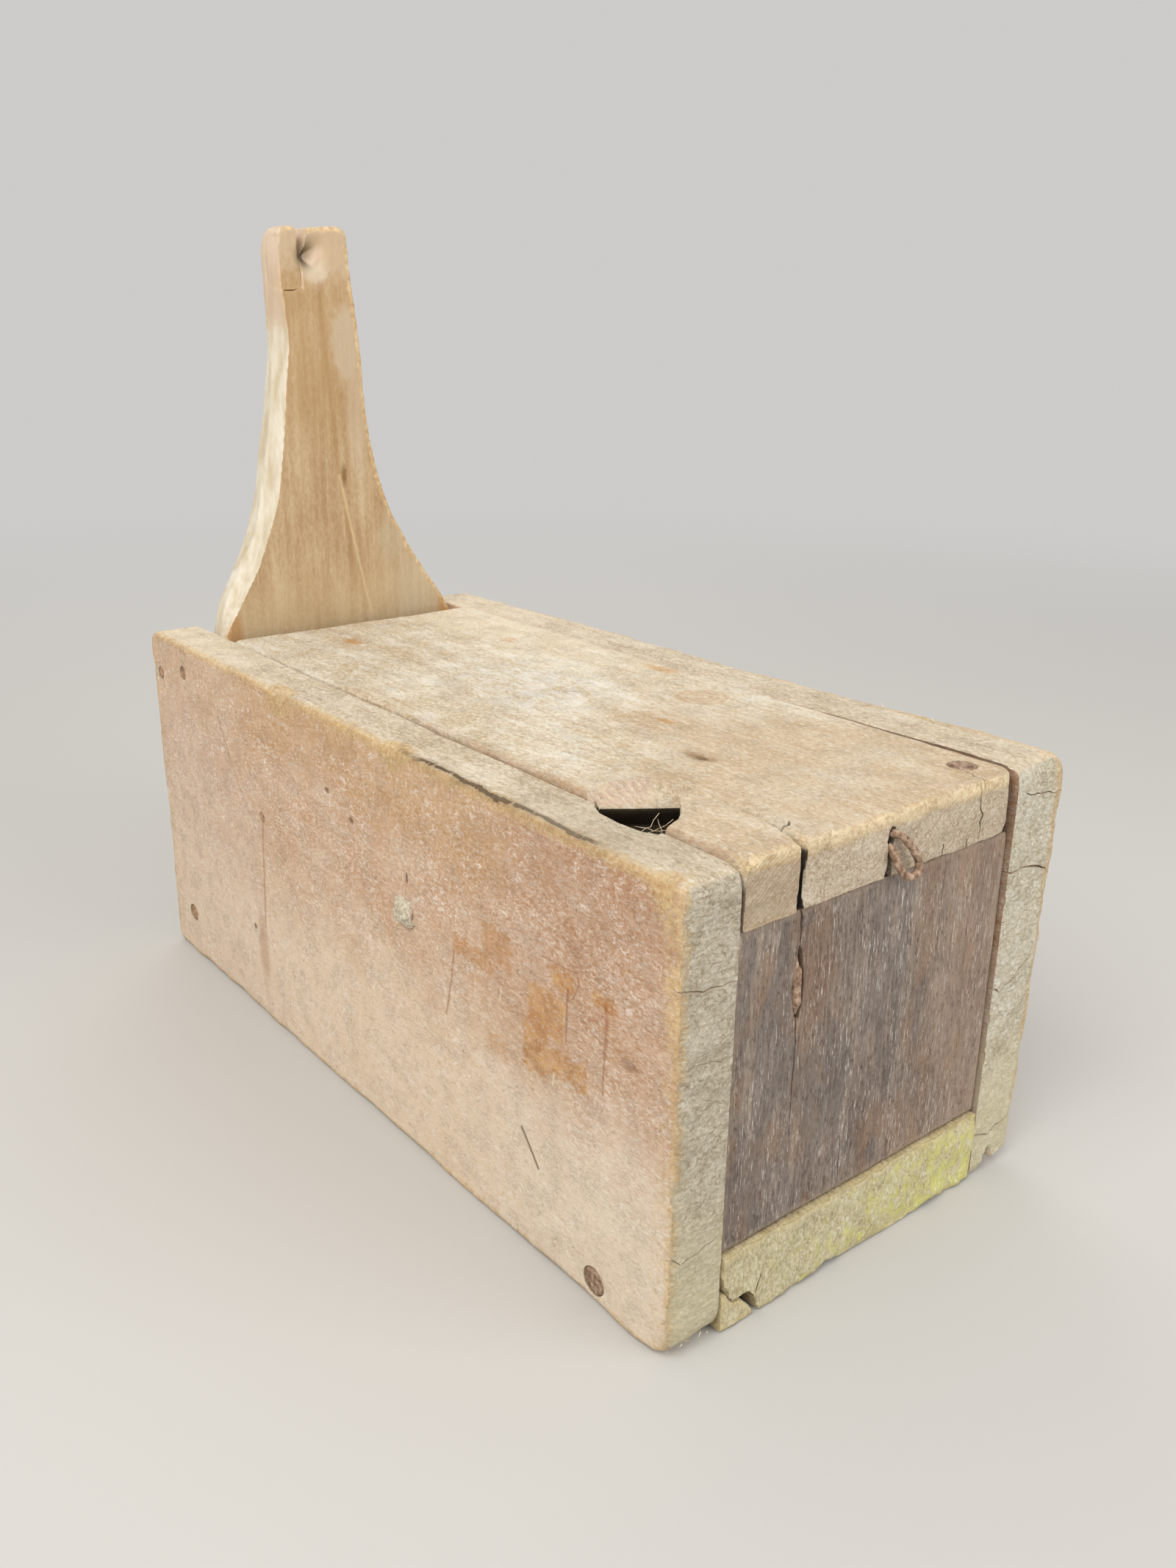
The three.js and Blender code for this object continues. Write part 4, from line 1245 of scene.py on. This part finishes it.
def top_board():
    left, right, corner = BOARD_LEFT, BOARD_RIGHT, 7
    split = split_side(1)
    outline = (split[:1] + arc(right - corner, NEAR + corner, corner, 270, 360)
               + [(right, TOP_FAR - 2), (right - 2, TOP_FAR), (left + 2, TOP_FAR), (left, TOP_FAR - 2),
                  (left, -117.8)] + split[:0:-1])

    def radius(p, lower):
        base = 1.5 + 0.7 * fbm(p, 9, 23) + 1.3 * step(-p[:, 1], 150, 161)
        beside_left = 1.2 + 0.9 * step(-p[:, 1], 0, 100) + 0.5 * fbm(p, 12, 24)
        base = np.where(p[:, 0] < left + 6, beside_left, base)
        at_split = (p[:, 0] < -28) & (p[:, 1] < -117)
        base = np.where(at_split, 0.5 + 0.3 * fbm(p, 5, 25), base)
        return np.maximum(np.where(lower, 0.8 + 0.4 * fbm(p, 6, 26), base), SMALLEST_RADIUS)

    def relief(p, normals):
        move = 0.3 * fbm(p, 55, 27) + 0.10 * fbm(p, (5, 30, 5), 28)
        move = move - at_end(normals) * (0.3 + 0.5 * fbm(p, (7, 7, 5), 29, 4))
        move = move - dent(p, (46, -148.5, 140.0), 9, 0.5) - dent(p, (-11, -96, 140.0), 6, 0.5)
        under = step(-normals[:, 2], 0.5, 0.9) * step(-p[:, 1], 150, 160)
        return tilted(p + normals * (move - under * (0.5 + 0.5 * noise(p, 9, 30)))[:, None]) - p

    bent_nail_channel = [(-3.5, 136.8), (-2.6, 138.2), (-0.9, 137.4), (-1.2, 135), (-1.9, 132), (-1.4, 128),
                         (-0.8, 124), (0.2, 119), (-3.4, 119), (-3.6, 124), (-2.9, 128), (-3.9, 131),
                         (-4.4, 134)]
    end_points = [(38.3, 143.5), (37.4, 137.8), (37.3, 134), (37.9, 128), (38.2, 121)]
    late = hole_cutters() + [
        pocket((46, -148.5, 141.6), 2, 1, 4.65, 1.6),
        crack([(42.2, -151.6, 142), (41, -155, 142), (39.4, -159.5, 142), (38.4, -164, 142)], (0, 0, -1), 0.7,
              5, 21, side=ALONG_X),
        end_crack(end_points, 0.6, 5, 22, side=ALONG_X),
        end_crack([(21.7, 126.8), (21.4, 122)], 0.7, 3, 23, side=ALONG_X),
        end_crack([(32, 126), (31.6, 122)], 0.7, 3, 24, side=ALONG_X),
        crack([(-35.0, -151.6, 142), (-32, -151.8, 142), (-29.6, -149.8, 142)], (0, 0, -1), 1.3, 4, 25,
              side=(0, 1, 0)),
        prism(bent_nail_channel, "XZ", NEAR - 3, NEAR + 5)]
    add_board("top_board", outline, "XY", TOP_UNDER, TOP_OVER, radius, relief, TOP, late=late,
              voxel=1.15)


def split_piece():
    left = BOARD_LEFT
    outline = [(left, NEAR)] + split_side(-1) + [(left, -118.2)]

    def radius(p, lower):
        near_left = step(left + 7 - p[:, 0], 0, 5)
        base = 0.9 + 0.4 * fbm(p, 6, 33) + near_left * (1.0 + 3.2 * step(-p[:, 1], 130, 160))
        base = base + 1.2 * step(-p[:, 1], 156, 162) * step(p[:, 0], -54, -44)
        return np.maximum(np.where(lower, 0.6, base), SMALLEST_RADIUS)

    def relief(p, normals):
        move = 0.2 * fbm(p, 25, 37) + 0.08 * fbm(p, (4, 20, 4), 38)
        move = move - at_end(normals) * (0.25 + 0.35 * fbm(p, (6, 6, 4), 39, 4))
        return tilted(p + normals * move[:, None]) - p

    add_board("top_board_split_piece", outline, "XY", TOP_UNDER, TOP_OVER, radius, relief, TOP,
              late=hole_cutters(), voxel=0.62)


def back_panel():
    low, high = extent("back_panel")
    outline = [(low[0], low[2]), (high[0], low[2]), (high[0], high[2]), (low[0], high[2])]

    def relief(p, normals):
        move = 0.16 * fbm(p, (3, 9, 70), 44) + 0.2 * fbm(p, (30, 30, 60), 45)
        top = step(p[:, 2], high[2] - 3, high[2] - 1)
        return normals * (move - top * 0.4 * np.abs(noise(p, 4, 46)))[:, None]

    # the slot where the wood has burst off the sunk nail, and the cracks that run on from it
    front = low[1]
    slot = prism([(-34.4, 112), (-33.2, 110.5), (-32.2, 106), (-31.4, 100), (-31.6, 94), (-32.6, 89.6),
                  (-34.2, 90.2), (-35.4, 94), (-36.2, 99), (-35.6, 103), (-35.0, 108)],
                 "XZ", front - 3, front + 4.6)
    late = [slot,
            end_crack([(-33.9, 124), (-34.1, 118), (-33.6, 111)], 0.9, 6, 41, y=front, side=ALONG_X, jag=0.2),
            end_crack([(-33.6, 90), (-33.0, 80), (-33.4, 66), (-32.8, 50)], 0.4, 3, 42, y=front, side=ALONG_X,
                      jag=0.15),
            end_crack([(-10.6, 44), (-10.2, 34), (-10.4, 24)], 0.35, 2, 43, y=front, side=ALONG_X, jag=0.12)]
    add_board("back_panel", outline, "XZ", low[1], high[1], wandering(0.8, 0.5, 6, 43), relief,
              PANEL, late=late, voxel=1.0)


def bottom_board():
    low, high = extent("bottom_board")
    outline = [(low[0], 0), (high[0], 0), (high[0], high[2]), (low[0], high[2])]

    def radius(p, near):
        rough = 0.9 + 0.5 * fbm(p, 8, 53)
        rough = rough + 1.5 * step(6 - p[:, 2], 0, 5) * near * (0.6 + noise(p, 7, 54))
        return np.maximum(rough, SMALLEST_RADIUS)

    def relief(p, normals):
        move = 0.2 * fbm(p, 50, 55) - at_end(normals) * (0.3 + 0.75 * fbm(p, (4, 6, 8), 56, 4))
        shift = normals * move[:, None]
        ragged = step(8 - p[:, 2], 0, 8) * step(-p[:, 1], 152, 161)
        shift[:, 2] += ragged * np.maximum(0.2 + 1.1 * fbm(p, (7, 20, 30), 57), 0)
        return shift

    broken = prism([(-70, -3), (-43.9, -3), (-43.6, 1), (-45, 6), (-46, 8.5), (-49, 10), (-51.5, 9.2),
                    (-54.4, 9), (-56, 13.5), (-57.6, 19), (-70, 19)], "XZ", NEAR - 5, NEAR + 54)
    late = [end_crack([(-44.6, 7.5), (-43.6, 11), (-42.7, 14)], 0.7, 6, 51, side=ALONG_X)]
    add_board("bottom_board", outline, "XZ", low[1], high[1], radius, relief, BOTTOM,
              cuts=[broken], late=late)


def broken_corner():
    outline = [(BOARD_LEFT, 0.2), (-44.6, 0.2), (-45.4, 2.4), (-47, 4.6), (-50, 7.8), (-53.6, 8.6),
               (-55.8, 12), (BOARD_LEFT, 12.4)]

    def relief(p, normals):
        ends = at_end(normals) * (0.3 + 0.5 * fbm(p, (4, 5, 5), 60))
        return normals * (0.15 * fbm(p, 8, 59) - ends)[:, None]

    add_board("bottom_board_broken_corner", outline, "XZ", NEAR, NEAR + 53, wandering(0.7, 0.3, 5, 58),
              relief, BOTTOM, voxel=0.6)


# The drop door's flanks, from the top down: z, x. The left one is whittled further in at its near side.
DOOR_RIGHT = [(293.4, 8.6), (282.5, 8.7), (277, 9.4), (265.9, 10.8), (248.9, 12.6), (237.3, 13.1),
              (225.5, 13.9), (213.5, 15.4), (201.2, 18), (191.7, 20.8), (182, 24.7), (175.3, 28.9),
              (168.6, 32.4), (161.6, 37.1), (154.6, 41.4), (149.1, 45.9), (144.4, 48.9), (138, 52.4),
              (133, 55.2), (25.3, 55.2)]
DOOR_LEFT_FAR = [(292.5, -22.1), (287.1, -23.4), (270.9, -23.2), (259.9, -23.1), (248.7, -23.8),
                 (237.5, -25.7), (226.1, -27.2), (214.6, -29.4), (202.9, -31.5), (191.2, -33.8),
                 (179.5, -37.6), (167.9, -43.1), (156.3, -49.6), (150.5, -52.7), (144.6, -54.7),
                 (139, -55.8), (133, -57.0), (25.3, -57.2)]
DOOR_LEFT_NEAR = [(292.5, -20.8), (284, -21.4), (276, -21.5), (257, -19.9), (249, -20.1), (238, -21.8),
                  (226, -23.2), (215, -24.7), (203, -26.6), (192, -28.5), (181, -32.8), (166, -38.9),
                  (153.5, -46.6), (146.4, -51.1), (140, -55.6), (136, -56.8), (25.3, -57.2)]
DOOR_TOP = [(8.4, 293.6), (7.2, 295.3), (5.0, 296.2), (1, 296.4), (-6, 295.8), (-10, 295.2), (-13, 296.2),
            (-17, 296.0), (-19.7, 295.2), (-21.4, 293.6)]


def drop_door():
    levels = list(np.linspace(25.3, 125, 12)) + list(np.linspace(130, 292, 55))

    def flank(table):
        heights, places = zip(*reversed(table))
        return [(float(np.interp(z, heights, places)), float(z)) for z in levels]

    right = flank(DOOR_RIGHT)
    outlines = [right + DOOR_TOP + flank(table)[::-1]
                for table in (DOOR_LEFT_NEAR, DOOR_LEFT_FAR, DOOR_LEFT_FAR)]
    solid = loft("drop_door_wood", outlines, "XZ", [DOOR_NEAR, DOOR_NEAR + 6.5, DOOR_FAR])

    def radius(p, near):
        base = 0.9 + 0.4 * fbm(p, 10, 63) + 1.2 * step(p[:, 2], 284, 294)
        return np.maximum(base, SMALLEST_RADIUS)

    def relief(p, normals):
        x, y, z = p.T
        move = 0.22 * fbm(p, (14, 30, 50), 64) + 0.06 * fbm(p, (4, 9, 30), 65)
        whittled = step(-normals[:, 0], 0.3, 0.7) * step(z, 132, 140)
        shift = normals * (move - whittled * 0.45 * np.abs(fbm(p, (9, 5, 26), 66)))[:, None]
        near = step(DOOR_FAR - 2 - y, 0, 6)
        scoop = 5.5 * np.exp(-((x + 9.6) / 2.6) ** 2 - ((z - 284.8) / 3.2) ** 2)
        scoop = scoop + 2.4 * np.exp(-((x + 6.2) / 3.4) ** 2 - ((z - 287.2) / 4.2) ** 2)
        split_off = 0.9 * step(-x, 11.6, 12.6) * step(z, 272.2, 273.2)
        shift[:, 1] += near * (scoop + split_off)
        return shift

    def through(points):
        return hull([(x, y, z) for y in (DOOR_NEAR - 3, DOOR_FAR + 3) for x, z in points])

    slot = through([(-13.2, 300), (-9.8, 300), (-12.9, 290), (-10.1, 289), (-12.2, 284), (-10.8, 283.4)])
    mouth = through([(-14.8, 300), (-7.2, 300), (-12.8, 292), (-10.2, 291)])
    ledge = end_crack([(-20.2, 272.3), (-16, 272.8), (-12.2, 272.6)], 0.5, 1.6, 61, y=DOOR_NEAR)
    groove = end_crack([(-12.2, 284), (-12.3, 278), (-12.1, 272.6)], 0.6, 2.0, 62, y=DOOR_NEAR, side=ALONG_X,
                       jag=0.15)
    add_board("drop_door", outlines[1], "XZ", DOOR_NEAR, DOOR_FAR, radius, relief, DOOR,
              body="door", solid=solid, cuts=[slot, mouth], late=[ledge, groove], voxel=0.7)


def guide_battens():
    for side, place in itertools.product(("left", "right"), ("near", "far")):
        node = f"door_guide_{side}_{place}"
        low, high = extent(node)
        outline = [(low[0], low[1]), (high[0], low[1]), (high[0], high[1]), (low[0], high[1])]
        seed = 70 + len(made)

        def relief(p, normals):
            return normals * (0.2 * fbm(p, (5, 5, 40), seed + 1))[:, None]

        add_board(node, outline, "XY", low[2], high[2], wandering(0.7, 0.3, 7, seed), relief,
                  BATTEN, voxel=0.8)


def mud_blob():
    work = bmesh.new()
    bmesh.ops.create_icosphere(work, subdivisions=5, radius=1)
    mesh = bpy.data.meshes.new("mud_blob")
    work.to_mesh(mesh)
    work.free()
    mesh.update()
    obj = new_object("mud_blob", mesh)
    p = get_points(obj) * MM
    lump = p * (1 + 0.28 * fbm(p, 0.9, 91, 4))[:, None]
    set_points(obj, lump * np.array([2.6, 6.0, 4.4]) + np.array([LEFT + 0.1, -34.6, 86.4]))
    obj.data.shade_smooth()
    adopt(obj, "box", [], MUD)


# ---- loose fibres ----

def splinter(rng, root, lean, length, thick):
    """A curling fibre that stands off a torn edge."""
    count = 8
    points, radii = [], []
    position, heading = Vector(root), Vector(lean).normalized()
    curl = Vector(rng.normal(0, 0.22, 3).tolist())
    for i in range(count):
        points.append(position.copy())
        radii.append(thick * (1 - i / 7.6))
        position += heading * (length / (count - 1))
        heading = (heading + curl).normalized()
    return points, radii


def torn_arris(rng):
    """Fibres in four places along the right board's outer top arris."""
    places = [(RIGHT - 1.2, -30, 2, 139.4, 5, 3.0), (RIGHT - 1.4, -92, 9, 140.2, 12, 4.5),
              (RIGHT - 1.2, -126, 6, 141.2, 9, 3.4), (RIGHT - 1.6, 15, 5, 139.0, 4, 2.5)]
    for x, y, spread, z, count, length in places:
        for _ in range(count):
            root = (x + rng.normal(0, 0.5), y + rng.normal(0, spread), z - 0.6)
            lean = (rng.normal(0, 0.4), rng.normal(0, 1.0), abs(rng.normal(0.5, 0.35)))
            yield splinter(rng, root, lean, length * rng.uniform(0.5, 1.2), rng.uniform(0.12, 0.3))


def torn_foot(rng):
    """Fibres at the foot of the left board's near end."""
    for _ in range(16):
        root = (LEFT + rng.uniform(2, 16), NEAR + rng.uniform(0, 5), 3 + abs(rng.normal(0, 2)))
        lean = (rng.normal(0, 1), -abs(rng.normal(0.8, 0.3)), rng.normal(-0.2, 0.4))
        yield splinter(rng, root, lean, rng.uniform(1.2, 2.6), rng.uniform(0.1, 0.2))


def hole_threads(rng):
    """Dry threads that hang across the trigger hole."""
    ends = [((-62, -112), (-44, -122)), ((-57, -106), (-52, -131)), ((-50, -108), (-60, -128)),
            ((-42, -113), (-55, -130)), ((-60, -119), (-43, -115)), ((-47, -109), (-46, -126))]
    count = 8
    for (x0, y0), (x1, y1) in ends:
        start, end = Vector((x0, y0, rng.uniform(131, 135))), Vector((x1, y1, rng.uniform(132, 137)))
        points = []
        for i in range(count):
            t = i / (count - 1)
            sag = Vector((0, 0, -1.6 * math.sin(math.pi * t)))
            points.append(start.lerp(end, t) + sag + Vector(rng.normal(0, 0.35, 3).tolist()))
        yield points, [0.1] * count


def splinters():
    rng = np.random.default_rng(17)
    pieces = [*torn_arris(rng), *torn_foot(rng), *hole_threads(rng)]
    parts = [tube("splinter", points, radii, sides=5) for points, radii in pieces]
    with bpy.context.temp_override(active_object=parts[0], selected_editable_objects=parts):
        bpy.ops.object.join()
    obj = parts[0]
    obj.name = obj.data.name = "edge_splinters"
    obj.data.shade_smooth()
    adopt(obj, "box", [], SPLINTER)


left_board()
right_board()
top_board()
split_piece()
back_panel()
bottom_board()
broken_corner()
drop_door()
guide_battens()
mud_blob()
splinters()
